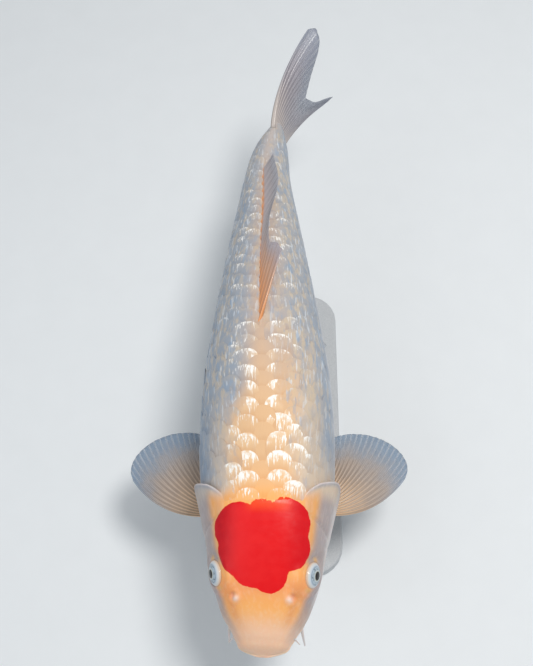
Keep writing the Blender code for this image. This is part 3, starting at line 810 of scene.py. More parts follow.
def closeSeam(thing):  # faces that cross the map's edge run on past it
    layer = thing.data.uv_layers["OFBake"]
    spots = np.zeros(len(layer.data) * 2, np.float32)
    layer.data.foreach_get("uv", spots)
    spots = spots.reshape(-1, 2)
    starts, totals = (np.zeros(len(thing.data.polygons), np.int32) for _ in range(2))
    thing.data.polygons.foreach_get("loop_start", starts)
    thing.data.polygons.foreach_get("loop_total", totals)
    for size in (3, 4):
        corners = starts[totals == size][:, None] + np.arange(size)
        across = spots[corners, 0]
        wraps = (across.max(1) - across.min(1)) > 0.5
        spots[corners[wraps], 0] = np.where(across[wraps] < 0.5, across[wraps] + 1, across[wraps])
    spots[:, 0] *= 0.99
    layer.data.foreach_set("uv", spots.ravel())


scale = {
    "rows": 14,
    "from": 0.090,
    "to": 0.495,
    "napeRoot": 0.0985,
    "lastRoot": 0.4800,
    "overCover": 0.0100,  # how far the first scales reach under the gill cover
    "finGap": (0.238, 0.432),  # no ridge scales here, for the dorsal fin
    "spacing": ((0.095, 0.0130), (0.150, 0.0145), (0.210, 0.0132), (0.300, 0.0110), (0.400, 0.0092),
                (0.500, 0.0074)),
    "length": 1.72,
    "halfWidth": 0.88,
    "tilt": 0.036,
    "thickness": 0.00024,
    "dome": 0.00022,
    "sink": 0.00010,
    "segments": 18,
    "innerRing": 0.62,
    "frontSquareness": 0.86,
    "backSquareness": 0.66,
    "sharpFrom": math.radians(50),
    "bedAlong": (0.070, 0.530, 150),  # first, last and how many
    "bedShare": (-1.24, 1.24, 181),
    "mapSize": (0.46, 0.42),
    "mapFrom": 0.08,
    "patchSize": (0.0015, 0.003),
    "seed": 7,
}


def scaleBlank():  # one scale, 2 wide and 1 long, root at the origin
    dome, thickness = scale["dome"], scale["thickness"]
    points, lie = [(0, 0.5, dome)], [(0, 0.5, 0)]
    for reach, height in ((scale["innerRing"], dome * 0.66), (1.0, 0.0), (1.0, -thickness)):
        for i in range(scale["segments"]):
            angle = math.tau * i / scale["segments"]
            across, lengthwise = math.sin(angle), math.cos(angle)
            squareness = scale["frontSquareness" if lengthwise > 0 else "backSquareness"]
            x = math.copysign(abs(across) ** squareness, across) * reach
            y = 0.5 + 0.5 * math.copysign(abs(lengthwise) ** squareness, lengthwise) * reach
            points.append((x, y, height))
            lie.append((x, y, reach))
    points.append((0, 0.5, -thickness + dome * 0.5))
    lie.append((0, 0.5, 0))
    blank = pushMesh("scale_blank", points, roundFaces(scale["segments"], 3))
    writeVectors(blank.data, "local", lie)
    return blank


def bedSurface():  # the skin's plain shape, with its flat map beside it
    steps = np.linspace(*scale["bedAlong"]), np.linspace(*scale["bedShare"])
    along, share = np.meshgrid(*steps, indexing="ij")
    points = bodyPoint(along, share) - bodyNormal(along, share) * skin["coatDepth"]
    faces = quadsOf(np.arange(along.size).reshape(along.shape).T)
    bed = pushMesh("scale_bed", points, faces.tolist())
    flatX = share * halfGirth(along)
    spots = np.stack([flatX / fish["length"] + 0.5, along / fish["length"], 0 * along], -1)
    writeVectors(bed.data, "spot", spots)
    return bed


def scaleRoots(rows):
    random = np.random.default_rng(scale["seed"])
    lattice, along = [], scale["from"]
    while along < scale["to"]:
        lattice.append(along)
        along += float(curveThrough(scale["spacing"], along))
    lattice = np.array(lattice)
    middles = (lattice[1:] + lattice[:-1]) / 2
    found = []
    for row in rows:
        share = row / scale["rows"]
        amount = float(coverAmount(np.array(share)))
        nape = scale["napeRoot"] + 0.004 * abs(share)
        start = amount * (float(coverRear(np.array(share))) - scale["overCover"]) + (1 - amount) * nape
        fromFlank = abs(abs(share) - 0.5)
        stop = scale["lastRoot"] - 0.030 * max(0, fromFlank - 0.25) + 0.006 * (fromFlank < 0.15)
        for place in (lattice if row % 2 == 0 else middles):
            onFin = row == 0 and scale["finGap"][0] < place < scale["finGap"][1]
            if start <= place + 0.003 and place <= stop and not onFin:
                found.append((row, share, place))
    found = np.array(found)
    random.shuffle(found)
    share, along = found[:, 1], found[:, 2]
    count, girth, onRidge = len(found), halfGirth(along), share == 0
    slope = share * (halfGirth(along + 0.002) - halfGirth(along - 0.002)) / 0.004
    width, spacing = scale["halfWidth"] * girth / scale["rows"], curveThrough(scale["spacing"], along)
    values = {
        "wide": width * random.uniform(0.97, 1.04, count) * (1 - 0.10 * onRidge),
        "long": scale["length"] * spacing * random.uniform(0.98, 1.04, count),
        "turned": -np.arctan(slope) + random.normal(0, 0.022, count),
        "tilted": scale["tilt"] * random.uniform(0.80, 1.25, count) * (1 - 0.25 * onRidge),
        "rolled": random.normal(0, 0.018, count),
        "tint": random.uniform(0, 1, count),
        "rootShare": share,
        "rootAlong": along,
    }
    return np.column_stack([share * girth, along, np.zeros(count)]), values


# Lays a blank on each root in the flat, then carries every point to the bed by the bed's map
def layScalesTree():
    tree = bpy.data.node_groups.new("lay scales", "GeometryNodeTree")
    kinds = {"Roots": "Geometry", "Blank": "Object", "Bed": "Object", "Span": "Float", "Sink": "Float",
             "Finish": "Material"}
    for name, kind in kinds.items():
        tree.interface.new_socket(name, in_out="INPUT", socket_type="NodeSocket" + kind)
    tree.interface.new_socket("Scales", in_out="OUTPUT", socket_type="NodeSocketGeometry")
    n = Nodes(tree)
    given = n.add("NodeGroupInput").outputs

    def named(name, kind="FLOAT"):
        return n.add("GeometryNodeInputNamedAttribute", {"Name": name}, data_type=kind).outputs["Attribute"]

    def join(x, y, z=0.0):
        return n.add("ShaderNodeCombineXYZ", {0: x, 1: y, 2: z}).outputs[0]

    blank = n.add("GeometryNodeObjectInfo", {"Object": given["Blank"]}).outputs["Geometry"]
    bed = n.add("GeometryNodeObjectInfo", {"Object": given["Bed"]}).outputs["Geometry"]
    lie = join(named("tilted"), named("rolled"), named("turned"))
    lie = n.add("FunctionNodeEulerToRotation", {0: lie}).outputs[0]
    size = join(named("wide"), named("long"), 1.0)
    lay = n.add("GeometryNodeInstanceOnPoints",
                {"Points": given["Roots"], "Instance": blank, "Rotation": lie, "Scale": size}).outputs[0]
    real = n.add("GeometryNodeRealizeInstances", {0: lay}).outputs[0]
    here = n.add("GeometryNodeInputPosition").outputs[0]
    x, y, z = n.add("ShaderNodeSeparateXYZ", {0: here}).outputs
    keep = n.add("GeometryNodeStoreNamedAttribute", {"Name": "flat", "Geometry": real, "Value": here},
                 data_type="FLOAT_VECTOR", domain="POINT").outputs[0]
    spot = join(n.plus(n.math("DIVIDE", x, given["Span"]), 0.5), n.math("DIVIDE", y, given["Span"]))

    def onBed(value):
        mapped = named("spot", "FLOAT_VECTOR")
        sockets = {"Mesh": bed, "Value": value, "Source UV Map": mapped, "Sample UV": spot}
        return n.add("GeometryNodeSampleUVSurface", sockets, data_type="FLOAT_VECTOR").outputs["Value"]

    normal = onBed(n.add("GeometryNodeInputNormal").outputs[0])
    above = n.math("SUBTRACT", z, given["Sink"])
    lifted = n.add("ShaderNodeVectorMath", {0: normal, "Scale": above}, operation="SCALE").outputs[0]
    spot3d = n.add("ShaderNodeVectorMath", {0: onBed(here), 1: lifted}, operation="ADD").outputs[0]
    moved = n.add("GeometryNodeSetPosition", {"Geometry": keep, "Position": spot3d}).outputs[0]
    solid = n.add("GeometryNodeRealizeInstances", {0: moved}).outputs[0]
    dressed = n.add("GeometryNodeSetMaterial", {"Geometry": solid, "Material": given["Finish"]}).outputs[0]
    n.add("NodeGroupOutput", {0: dressed})
    return tree


def applyTree(thing, tree, **inputs):
    modifier = thing.modifiers.new("nodes", "NODES")
    modifier.node_group = tree
    for item in tree.interface.items_tree:
        if item.item_type == "SOCKET" and item.in_out == "INPUT" and item.name in inputs:
            modifier[item.identifier] = inputs[item.name]
    bpy.context.view_layer.update()
    evaluated = thing.evaluated_get(bpy.context.evaluated_depsgraph_get())
    mesh = bpy.data.meshes.new_from_object(evaluated)
    thing.modifiers.remove(modifier)
    old, thing.data = thing.data, mesh
    bpy.data.meshes.remove(old)


def makeScaleMaterial():
    n = Finish("pearl scale")
    place = n.place()
    local = n.layer("local", "Vector")
    down, reach = n.add("ShaderNodeSeparateXYZ", {0: local}).outputs[1:]
    tint, glint = n.layer("tint"), n.layer("glint")

    def patches(stretch, size, detail, roughness, low, high):
        return n.spread(n.noise(n.place((1, stretch, 1)), size, detail, roughness), low, high)

    # long streaks down each scale, other ones on the next
    shift = n.add("ShaderNodeCombineXYZ", {0: n.times(tint, 37.0), 2: n.times(tint, 91.0)}).outputs[0]
    moved = n.add("ShaderNodeVectorMath", {0: local, 1: shift}, operation="ADD").outputs[0]
    stretched = n.add("ShaderNodeMapping", {"Vector": moved, "Scale": (6.5, 0.7, 1)}).outputs[0]
    streaks = n.noise(stretched, 1.6, 3.0, 0.6)

    # painted highlight: a white glint over the free edge of a glinting scale, with a painted warm glow round
    # it
    fringe = n.plus(down, n.swing(streaks, 1.7))
    fringe = n.plus(fringe, n.math("MULTIPLY_ADD", glint, 0.34, -0.34))
    freeEdge = n.times(n.spread(fringe, 0.62, 0.80), n.spread(reach, 1.02, 0.94))
    broken = n.spread(n.noise(place, 170, 2.0), 0.38, 0.54, 0.15, 1.0)
    paintedGlint = n.times(n.times(freeEdge, n.spread(glint, 0.05, 0.45)), broken)
    glintGlow = n.times(n.spread(glint, 0.2, 0.8), n.spread(down, 0.30, 0.75))
    rimLine = n.times(n.spread(reach, 0.52, 0.92), n.spread(down, 0.36, 0.62))

    # cool clouds and blue dashes (partly the scales' own blue-grey, partly painted reflection of blue
    # surroundings), warm rims, cream blotches and pale flecks on the flanks
    tone, coolness = n.layer("tone", "Color"), n.layer("coolness")
    wander = n.plus(n.noise(place, 70), n.swing(tint, 0.24))
    middle = n.times(n.spread(reach, 0.86, 0.50), n.spread(streaks, 0.46, 0.60))
    cloud = patches(0.55, 105, 3.0, 0.6, 0.44, 0.62)
    cool = n.times(n.times(middle, n.spread(wander, 0.46, 0.62)), coolness)
    cool = n.math("MAXIMUM", n.times(cool, 0.70), n.times(cloud, coolness))
    shadow = n.spread(n.plus(down, n.swing(streaks, 0.3)), 0.40, 0.66, 0.25, 0.0)
    base = n.shade(shadow, tone, paint(226, 206, 190))
    warm = n.times(rimLine, n.spread(wander, 0.68, 0.46))
    cream = patches(0.45, 165, 3.0, 0.65, 0.49, 0.60)
    flecks = patches(0.16, 420, 2.0, 0.5, 0.58, 0.66)
    dashes = patches(0.30, 210, 1.0, 0.5, 0.61, 0.67)
    layers = (
        (cool, 0.50, (156, 168, 182)),
        (n.times(warm, coolness), 0.20, (214, 194, 166)),
        (n.times(cream, coolness), 0.50, (218, 198, 168)),
        (n.times(flecks, coolness), 0.55, (226, 234, 242)),
        (n.times(dashes, coolness), 0.50, (146, 170, 196)),
        (glintGlow, 0.30, (255, 222, 178)),
    )
    for mask, strength, colour in layers:
        base = n.mix(n.times(mask, strength), base, paint(*colour))
    base = crownPaint(n, n.mix(paintedGlint, base, paint(255, 254, 250)), place)

    relief = n.bump(streaks, 0.30, 0.0005)
    rings = n.math("SINE", n.times(reach, 60.0))
    relief = n.bump(n.times(rings, glint), 0.04, 0.0002, relief)
    shine = n.layer("shine")
    return n.set(Base_Color=base, Normal=relief, Metallic=n.spread(shine, 0.0, 1.0, 0.0, 0.10),
                 Roughness=n.spread(shine, 0.0, 1.0, 0.66, 0.36), Coat_Roughness=0.22,
                 Coat_Weight=n.spread(shine, 0.0, 1.0, 0.0, 0.20), Specular_IOR_Level=0.22)


def scaleLooks(along, share, rootAlong, rootShare, tint):
    down, out, side = np.abs(rootShare), np.abs(share), np.sign(rootShare)
    # painted glints on the scales each side of the nape
    farthest = 0.235 + 0.02 * side - 1.6 * np.clip(rootAlong - 0.150, 0, 0.2)
    glint = ease(down - 0.035, 0.03) * ease(farthest - down, 0.07) * ease(0.27 - rootAlong, 0.11)
    glint = glint * (0.35 + 0.65 * ease(tint - 0.10, 0.45)) * ease(rootAlong - 0.094, 0.007)
    inner = 0.076 + ease(0.190 - along, 0.035) * (0.129 + 0.025 * side)
    glint = glint * ease(inner - out, 0.035)
    # painted glints: a few anywhere on the back, and more beside the dorsal fin
    glint = glint + 0.32 * ease(tint - 0.84, 0.1) * ease(0.30 - down, 0.1)
    besideFin = ease(0.22 - out, 0.08) * ease(along - 0.205, 0.03) * ease(0.46 - along, 0.05)
    glint = np.maximum(glint, 0.40 * besideFin * ease(tint - 0.38, 0.3))
    nearest = 0.05 - 0.035 * ease(rootAlong - 0.19, 0.05)
    coolness = ease(down - nearest, 0.10) * ease(0.46 - down, 0.14)
    return {
        "tone": bodyTone(along, share),
        "glint": np.where(down < 0.02, 0, glint),
        "coolness": coolness * (0.4 + 0.6 * ease(rootAlong - 0.12, 0.09)),
        "shine": ease(down - 0.11, 0.09) * (0.35 + 0.65 * tint),
    }


def makeScales(side, rows, tree, blank, bed, material):
    roots, values = scaleRoots(rows)
    thing = pushMesh("scales_" + side, roots, [], values)
    applyTree(thing, tree, Blank=blank, Bed=bed, Span=fish["length"], Sink=scale["sink"], Finish=material)
    mesh = thing.data
    spots, local = readLayer(mesh, "flat", "vector"), readLayer(mesh, "local", "vector")
    rootShare, rootAlong, tint = (readLayer(mesh, name) for name in ("rootShare", "rootAlong", "tint"))
    along = spots[:, 1].astype(float)
    share = spots[:, 0] / halfGirth(along)
    writeLayers(mesh, scaleLooks(along, share, rootAlong, rootShare, tint))
    writeLayers(mesh, crownMarks(along, share, sideAndLevel(along, angleFor(along, share))[0]))
    # each scale's part of the bake map is a small patch where its root lies
    u = 0.5 + rootShare * halfGirth(rootAlong) / scale["mapSize"][0] + local[:, 0] * scale["patchSize"][0]
    v = (rootAlong - scale["mapFrom"]) / scale["mapSize"][1] + (local[:, 1] - 0.5) * scale["patchSize"][1]
    bakeMap(thing, np.column_stack([u, v]))
    mesh.shade_smooth()
    mesh.set_sharp_from_angle(angle=scale["sharpFrom"])
    turnOut(thing)
    finishPiece(thing, material, "skin")


pectoral = {
    "rays": 19,
    "root": (0.1215, 0.046, -0.040),  # along, aside, level
    "rootBack": 0.014,
    "rootIn": 0.004,
    "rootFall": 0.008,
    "startAngles": (math.radians(-8), math.radians(70)),
    "endAngles": (math.radians(25), math.radians(78)),
    "length": ((0.0, 0.083), (0.06, 0.0885), (0.14, 0.0920), (0.3, 0.0920), (0.5, 0.086), (0.75, 0.074),
               (1.0, 0.060)),
    "droop": 0.20,
    "camber": 0.004,
    "size": {1: 0.995, -1: 1.065},
    "rootThickness": 0.0026,
    "rows": 40,
}
dorsal = {
    "rays": 19,
    "base": (0.250, 0.428),
    "rootSide": -0.0028,
    "length": ((0.0, 0.072), (0.1, 0.062), (0.22, 0.044), (0.4, 0.035), (0.8, 0.032), (1.0, 0.022)),
    "rise": ((0.0, 0.36), (0.25, 0.38), (0.6, 0.45), (1.0, 0.60)),
    "lean": ((0.0, 0.32), (0.25, 0.25), (0.45, 0.30), (0.7, 0.60), (1.0, 0.60)),
    "rootThickness": 0.0026,
    "web": 0.66,
    "rows": 30,
}
anal = {
    "rays": 8,
    "base": (0.402, 0.436),
    "length": ((0.0, 0.056), (0.3, 0.052), (1.0, 0.030)),
    "fall": ((0.0, 0.90), (1.0, 0.45)),
    "rootThickness": 0.0026,
    "rows": 28,
}
pelvic = {
    "rays": 10,
    "base": (0.252, 0.268),
    "sides": (0.030, 0.018),
    "length": ((0.0, 0.060), (0.3, 0.062), (0.7, 0.050), (1.0, 0.034)),
    "spread": ((0.0, 0.48), (1.0, 0.08)),
    "fall": ((0.0, 0.45), (1.0, 0.28)),
    "rootThickness": 0.0024,
    "rows": 28,
}
tailFin = {
    "rays": 20,
    "root": 0.485,
    "rootHeight": {1: 0.0290, -1: 0.0260},  # upper lobe, lower lobe
    "reach": {1: ((0.0, 0.100), (0.05, 0.1045), (0.2, 0.102), (0.6, 0.080), (1.0, 0.065)),
              -1: ((0.0, 0.1035), (0.06, 0.1100), (0.2, 0.1085), (0.6, 0.083), (1.0, 0.065))},
    "height": {1: ((0.0, 0.0585), (0.2, 0.0530), (0.6, 0.0290), (1.0, 0.0006)),
               -1: ((0.0, 0.0490), (0.2, 0.0450), (0.6, 0.0265), (1.0, 0.0006))},
    # heading in degrees from the lower edge (-1) by the fork (0) to the upper edge (1)
    "startTurn": ((-1.0, 13), (0.0, 22), (1.0, 3)),
    "meanTurn": ((-1.0, 31), (0.0, 32), (0.6, 31), (1.0, 21)),
    "flare": 0.8,
    "rootThickness": 0.0036,
    "rows": 44,
}
sunkRoot = 0.003  # how deep the roots of fins and feelers lie
finStep = 0.004  # how far to look along a fin for its slope
columnsPerRay = 12


# Each fin's points: u runs from its first ray to its last, v from root to tip

def pectoralPoint(u, v, sign):
    angle = between((between(pectoral["startAngles"], u), between(pectoral["endAngles"], u)), v)
    length = pectoral["size"][sign] * curveThrough(pectoral["length"], u) * v
    out, back = length * np.cos(angle), length * np.sin(angle)
    along, aside, level = pectoral["root"]
    camber = pectoral["camber"] * np.sin(math.pi * v) * np.sin(math.pi * u)
    height = level - pectoral["rootFall"] * u - pectoral["droop"] * out + camber
    side = sign * (aside - pectoral["rootIn"] * u + out)
    return onSpine(along + pectoral["rootBack"] * u + back, side, height)


def dorsalPoint(u, v):
    start = between(dorsal["base"], u)
    lean, rise = curveThrough(dorsal["lean"], u), curveThrough(dorsal["rise"], u)
    reach = curveThrough(dorsal["length"], u) * v / np.sqrt(lean ** 2 + 1 + rise ** 2)
    backTop = sectionAt(start + reach)[1]
    return onSpine(start + reach, dorsal["rootSide"] + lean * reach, backTop - sunkRoot + rise * reach)


def analPoint(u, v):
    start, fall = between(anal["base"], u), curveThrough(anal["fall"], u)
    reach = curveThrough(anal["length"], u) * v / np.sqrt(1 + fall ** 2)
    return onSpine(start + reach, 0 * reach, sectionAt(start)[2] + sunkRoot - fall * reach)


def pelvicPoint(u, v, sign):
    start, aside = between(pelvic["base"], u), between(pelvic["sides"], u)
    spread, fall = curveThrough(pelvic["spread"], u), curveThrough(pelvic["fall"], u)
    reach = curveThrough(pelvic["length"], u) * v / np.sqrt(spread ** 2 + 1 + fall ** 2)
    halfWidth, _, bottom, widest, squareness = sectionAt(start)
    share = (aside / halfWidth) ** squareness
    level = widest - (widest - bottom) * (1 - share) ** (1 / squareness) + sunkRoot
    return onSpine(start + reach, sign * (aside + spread * reach), level - fall * reach)


def tailPoint(u, v):
    edge = 1 - 2 * u  # 1 at the upper edge, 0 at the fork, -1 below
    inward = 1 - np.abs(edge)
    start, mean = curveThrough(tailFin["startTurn"], edge), curveThrough(tailFin["meanTurn"], edge)
    lobes = []
    for sign in (1, -1):
        reach = curveThrough(tailFin["reach"][sign], inward) * v
        height = curveThrough(tailFin["height"][sign], inward)
        rootLevel = tailFin["rootHeight"][sign] * (1 - inward) + tailFin["height"][sign][-1][1] * inward
        level = sign * (rootLevel + (height - rootLevel) * v ** tailFin["flare"])
        turned = np.radians(start + (mean - start) * (reach / 0.1) ** tailFin["flare"])
        way = np.stack([np.sin(turned), np.cos(turned), 0 * turned], -1)
        lobes.append(onSpine(tailFin["root"], 0 * level, level) + way * reach[..., None])
    return np.where((edge > 0)[..., None], *lobes)


def rayRelief(u, v, rays):  # each ray splits in two, and in two again further out
    across = u * (rays - 1) - np.round(u * (rays - 1))
    first, second = 0.17 * ease(v - 0.36, 0.30), 0.085 * ease(v - 0.66, 0.25)
    width = 0.20 - 0.08 * ease(v - 0.3, 0.2) - 0.05 * ease(v - 0.65, 0.2)
    ways = [(-1, -1), (-1, 1), (1, -1), (1, 1)]
    return np.maximum.reduce([hump(across - a * first - b * second, width) for a, b in ways])


def makeFin(name, rayPoint, fin, material, *nodes):
    columns, rows = columnsPerRay * (fin["rays"] - 1) + 1, fin["rows"]
    u, v = np.meshgrid(np.linspace(0, 1, columns), np.linspace(0, 1, rows), indexing="ij")
    ray = rayRelief(u, v, fin["rays"])
    scallop = 1 - 0.002 * (1 - ray) * ease(v - 0.8, 0.2)
    ragged = 1 - 0.003 * np.sin(u * 61) * np.sin(u * 23 + 1) * v
    points = rayPoint(u, np.clip(v * scallop * ragged, 0, 1))
    acrossWay = rayPoint(np.clip(u + finStep, 0, 1), v) - rayPoint(np.clip(u - finStep, 0, 1), v)
    outWay = rayPoint(u, np.clip(v + finStep, 0, 1)) - rayPoint(u, np.clip(v - finStep, 0, 1))
    for way in (acrossWay, outWay):
        way[:, 0] = way[:, 1]
    normal = np.cross(acrossWay, outWay)
    normal /= np.maximum(np.linalg.norm(normal, axis=-1, keepdims=True), 1e-12)
    leading = ease(1 - u * (fin["rays"] - 1) / 0.8)
    profile = 0.24 + 0.76 * (1 - v) ** 1.6
    web = fin.get("web", 0.42)
    half = fin["rootThickness"] / 2 * profile * (web + (1 - web) * ray + 0.5 * leading)
    half = half * (1 - 0.75 * ease(v - 0.93, 0.07))
    half[[0, -1]] *= 0.4
    upper, lower = points + normal * half[..., None], points - normal * half[..., None]
    index = np.arange(columns * rows).reshape(columns, rows)
    rim = np.concatenate([index[:, 0], index[-1, 1:], index[::-1, -1][1:], index[0, ::-1][1:]])
    faces = quadsOf(index).tolist() + quadsOf(index + index.size)[:, ::-1].tolist()
    faces += quadsOf(np.stack([rim + index.size, rim], 1)).tolist()
    twice = {key: np.tile(data.ravel(), 2) for key, data in (("ray", ray), ("reach", v), ("fan", u))}
    thing = pushMesh(name, np.stack([upper, lower]), faces, twice)
    turnOut(thing)
    halfway = np.column_stack([u.ravel(), v.ravel() * 0.49])
    bakeMap(thing, np.concatenate([halfway, halfway + (0, 0.51)]))
    finishPiece(thing, material, "fin", *nodes)


# line: the painted shade in the grooves between the rays
finLooks = {
    # the pectoral's blue-grey tip is partly its own grey, partly painted blue of the surroundings seen
    # through the fin
    "pectoral": {"root": paint(224, 188, 150), "middle": paint(180, 164, 152), "tip": paint(130, 152, 176),
                 "line": paint(138, 118, 104), "clear": 0.42},
    "dorsal": {"root": paint(226, 152, 96), "middle": paint(216, 170, 140), "tip": paint(184, 176, 184),
               "line": paint(196, 136, 100), "clear": 0.30, "rear": paint(164, 168, 178)},
    "tail": {"root": paint(196, 186, 180), "middle": paint(168, 164, 172), "tip": paint(146, 152, 168),
             "line": paint(116, 108, 120), "clear": 0.35},
    "under": {"root": paint(228, 206, 188), "middle": paint(206, 198, 192), "tip": paint(184, 192, 200),
              "line": paint(158, 138, 124), "clear": 0.40},
}


def makeFinMaterial(kind):
    look = finLooks[kind]
    n = Finish(kind + " fin")
    ray, reach = n.layer("ray"), n.layer("reach")
    place = n.place()
    along = n.plus(reach, n.swing(n.noise(place, 90), 0.24))
    colour = n.mix(n.spread(along, 0.15, 0.60), look["root"], look["middle"])
    colour = n.mix(n.spread(along, 0.55, 0.98), colour, look["tip"])
    # painted shade in the grooves between the rays, strongest near the root
    grooveShade = n.times(n.spread(ray, 0.55, 0.15), n.spread(reach, 1.0, 0.25, 0.10, 0.62))
    colour = n.mix(grooveShade, colour, look["line"])
    if "rear" in look:
        greyer = n.times(n.spread(n.layer("fan"), 0.22, 0.50), n.spread(reach, 0.14, 0.30))
        colour = n.mix(n.times(greyer, 0.80), colour, look["rear"])
    joints = n.math("SINE", n.times(reach, 210.0))
    jointed = n.times(n.spread(ray, 0.4, 0.9), n.spread(reach, 0.30, 0.55))
    relief = n.bump(n.times(joints, jointed), 0.25, 0.0004)
    relief = n.bump(n.noise(place, 700, 2.0), 0.10, 0.0005, relief)
    web = n.times(n.spread(ray, 0.75, 0.20), n.spread(along, 0.25, 0.85))
    alpha = n.spread(web, 0.0, 1.0, 1.0, 1.0 - look["clear"], kind="LINEAR")
    alpha = n.times(alpha, n.spread(along, 0.55, 1.05, 1.0, 0.80))
    return n.set(Base_Color=colour, Normal=relief, Alpha=alpha, Roughness=0.34, Coat_Weight=0.35,
                 Coat_Roughness=0.15, Subsurface_Weight=0.0)


feelers = {
    # root along, aside and level, length, radius, way
    "corner": ((0.0245, 0.0325, -0.0215), 0.020, 0.0013, (0.10, -0.62, -0.78)),
    "lip": ((0.0150, 0.0265, -0.0130), 0.009, 0.0009, (0.45, -0.45, -0.77)),
    "sag": (0, 0.10, -0.25),
    "roundFrom": 0.9,
    "steps": 22,
    "sides": 14,
}


def makeFeelers(material):
    steps, around = feelers["steps"], feelers["sides"]
    roundFrom = feelers["roundFrom"]
    points, faces = [], []
    for kind in ("corner", "lip"):
        for _, sign in sides:
            (along, aside, level), length, thick, way = feelers[kind]
            root = onSpine(along, sign * (aside - sunkRoot), level)
            way = way * np.array((sign, 1, 1))
            way /= np.linalg.norm(way)
            across = np.cross(way, (0, 0, 1.0))
            across /= np.linalg.norm(across)
            upwards = np.cross(way, across)
            start = len(points)
            for share in np.arange(steps) / (steps - 1):
                sag = np.array(feelers["sag"]) * length * share ** 2
                centre = root + way * (length + sunkRoot) * share + sag
                rounded = max(0.02, 1 - (max(0, share - roundFrom) / (1 - roundFrom)) ** 2)
                radius = thick * (1.25 - 0.80 * share ** 0.7) * math.sqrt(rounded)
                for angle in math.tau * np.arange(around) / around:
                    points.append(centre + radius * (math.cos(angle) * across + math.sin(angle) * upwards))
            index = start + np.arange(steps * around).reshape(steps, around)
            faces += quadsOf(np.concatenate([index, index[:, :1]], axis=1).T).tolist()
            faces += [index[0].tolist(), index[-1, ::-1].tolist()]
    count = len(points)
    values = {"tone": np.tile(tones["feeler"], (count, 1)), "crown": np.full(count, crown["outside"]),
              "crownSideShade": np.zeros(count), "crownRear": np.zeros(count)}
    thing = pushMesh("feelers", points, faces, values)
    turnOut(thing)
    finishPiece(thing, material, "skin", "feeler_corner_left", "feeler_corner_right", "feeler_lip_left",
                "feeler_lip_right")


def makeBaseMaterial():
    n = Finish("stand base")
    place = n.place()
    speck = n.spread(n.noise(place, 1400, 2.0), 0.35, 0.7)
    colour = n.mix(speck, paint(184, 188, 192), paint(198, 201, 204))
    scuff = n.noise(n.place((1, 0.12, 1)), 140, 4.0)
    return n.set(Base_Color=colour, Normal=n.bump(n.noise(place, 1800, 2.0), 0.12, 0.0004),
                 Roughness=n.spread(scuff, 0.35, 0.65, 0.42, 0.55))


def makeRodMaterial():
    n = Finish("stand rod")
    brushed = n.noise(n.place((1, 1, 0.02)), 2600)
    colour = n.mix(n.spread(brushed, 0.3, 0.7), paint(186, 188, 192), paint(212, 214, 216))
    return n.set(Base_Color=colour, Metallic=1.0, Normal=n.bump(brushed, 0.10, 0.0003),
                 Roughness=n.spread(brushed, 0.3, 0.7, 0.22, 0.34))


studio = {
    "target": (0, 0.0385, 0.160),
    "cameraAway": (0.05, -0.3804, 0.8157),
    "lens": 53.73,
    "floorSize": 5.0,
    # away from the target, size, power, colour
    "key": ((0.50, -0.02, 1.60), 0.50, 17.5, (1.0, 0.97, 0.93)),
    "fill": ((-0.9, -0.8, 1.3), 1.4, 4, (0.93, 0.97, 1.0)),
    "worldColour": (0.92, 0.96, 1.0, 1.0),
    "worldPower": 0.42,
}


def makeCamera():
    target = Vector(studio["target"])
    spot = target + Vector(studio["cameraAway"])
    forward = (target - spot).normalized()
    up = (Vector((0, 1, 0)) - forward * forward.y).normalized()
    lie = Matrix((forward.cross(up), up, -forward)).transposed().to_4x4()
    data = bpy.data.cameras.new("camera")
    data.lens, data.sensor_width = studio["lens"], 36
    data.clip_start, data.clip_end = 0.01, 50
    camera = bpy.data.objects.new("camera", data)
    camera.matrix_world = Matrix.Translation(spot) @ lie
    bpy.context.scene.collection.objects.link(camera)
    bpy.context.scene.camera = camera


def makeLight(name):
    away, size, power, colour = studio[name]
    data = bpy.data.lights.new(name, "AREA")
    data.shape = "DISK"
    data.size, data.energy, data.color = size, power, colour
    lamp = bpy.data.objects.new(name, data)
    target = Vector(studio["target"])
    lamp.location = target + Vector(away)
    lamp.rotation_euler = (target - lamp.location).to_track_quat("-Z", "Y").to_euler()
    bpy.context.scene.collection.objects.link(lamp)


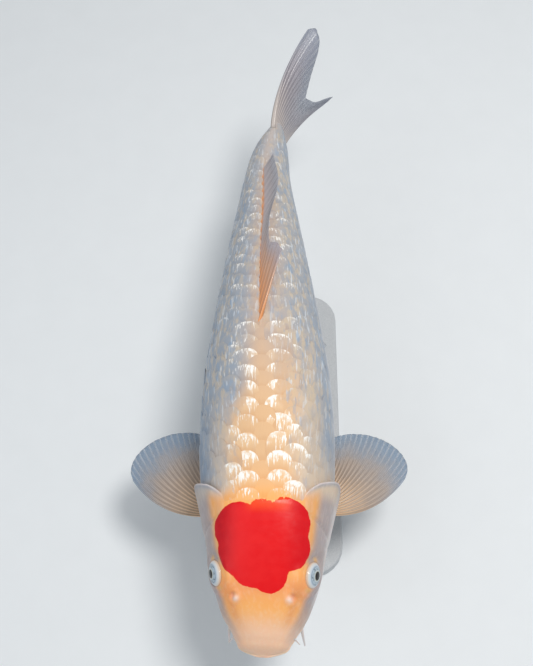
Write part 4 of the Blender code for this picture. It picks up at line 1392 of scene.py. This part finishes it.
def makeStudio():
    half = studio["floorSize"] / 2
    corners = [(-half, -half, 0), (half, -half, 0), (half, half, 0), (-half, half, 0)]
    floor = pushMesh("floor", corners, [(0, 1, 2, 3)])
    n = Finish("floor")
    colour = n.mix(n.noise(n.place(), 30), paint(230, 234, 237), paint(234, 238, 241))
    floor.data.materials.append(n.set(Base_Color=colour, Roughness=0.75))
    makeLight("key")
    makeLight("fill")
    world = bpy.data.worlds.new("studio")
    world.use_nodes = True
    backdrop = world.node_tree.nodes["Background"]
    backdrop.inputs["Color"].default_value = studio["worldColour"]
    backdrop.inputs["Strength"].default_value = studio["worldPower"]
    bpy.context.scene.world = world
    bpy.context.scene.view_settings.view_transform = "Standard"


def build():
    makeCamera()
    makeStudio()
    print("studio ready")
    skinMaterial, scaleMaterial = makeSkinMaterial(), makeScaleMaterial()
    makeSkin(skinMaterial)
    print("skin ready")
    makeFeelers(skinMaterial)
    eyeMaterial = makeEyeMaterial()
    for side, sign in sides:
        makeEye(side, sign, eyeMaterial)
    print("eyes and feelers ready")
    blank, bed, tree = scaleBlank(), bedSurface(), layScalesTree()
    makeScales("left", range(0, scale["rows"] + 1), tree, blank, bed, scaleMaterial)
    makeScales("right", range(1 - scale["rows"], 0), tree, blank, bed, scaleMaterial)
    for helper in (blank, bed):
        bpy.data.objects.remove(helper)
    print("scales ready")
    looks = {kind: makeFinMaterial(kind) for kind in finLooks}
    for side, sign in sides:
        makeFin("pectoral_" + side, lambda u, v: pectoralPoint(u, v, sign), pectoral, looks["pectoral"],
                "pectoral_fin_" + side)
        makeFin("pelvic_" + side, lambda u, v: pelvicPoint(u, v, sign), pelvic, looks["under"],
                "pelvic_fin_" + side)
    makeFin("dorsal", dorsalPoint, dorsal, looks["dorsal"], "dorsal_fin")
    makeFin("anal", analPoint, anal, looks["under"], "anal_fin")
    makeFin("tail", tailPoint, tailFin, looks["tail"], "caudal_fin_upper", "caudal_fin_lower")
    print("fins ready")
    dress(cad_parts["stand_base"], makeBaseMaterial())
    rodMaterial = makeRodMaterial()
    for name in ("stand_rod_front", "stand_rod_rear"):
        dress(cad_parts[name], rodMaterial)
    print("stand ready")


build()
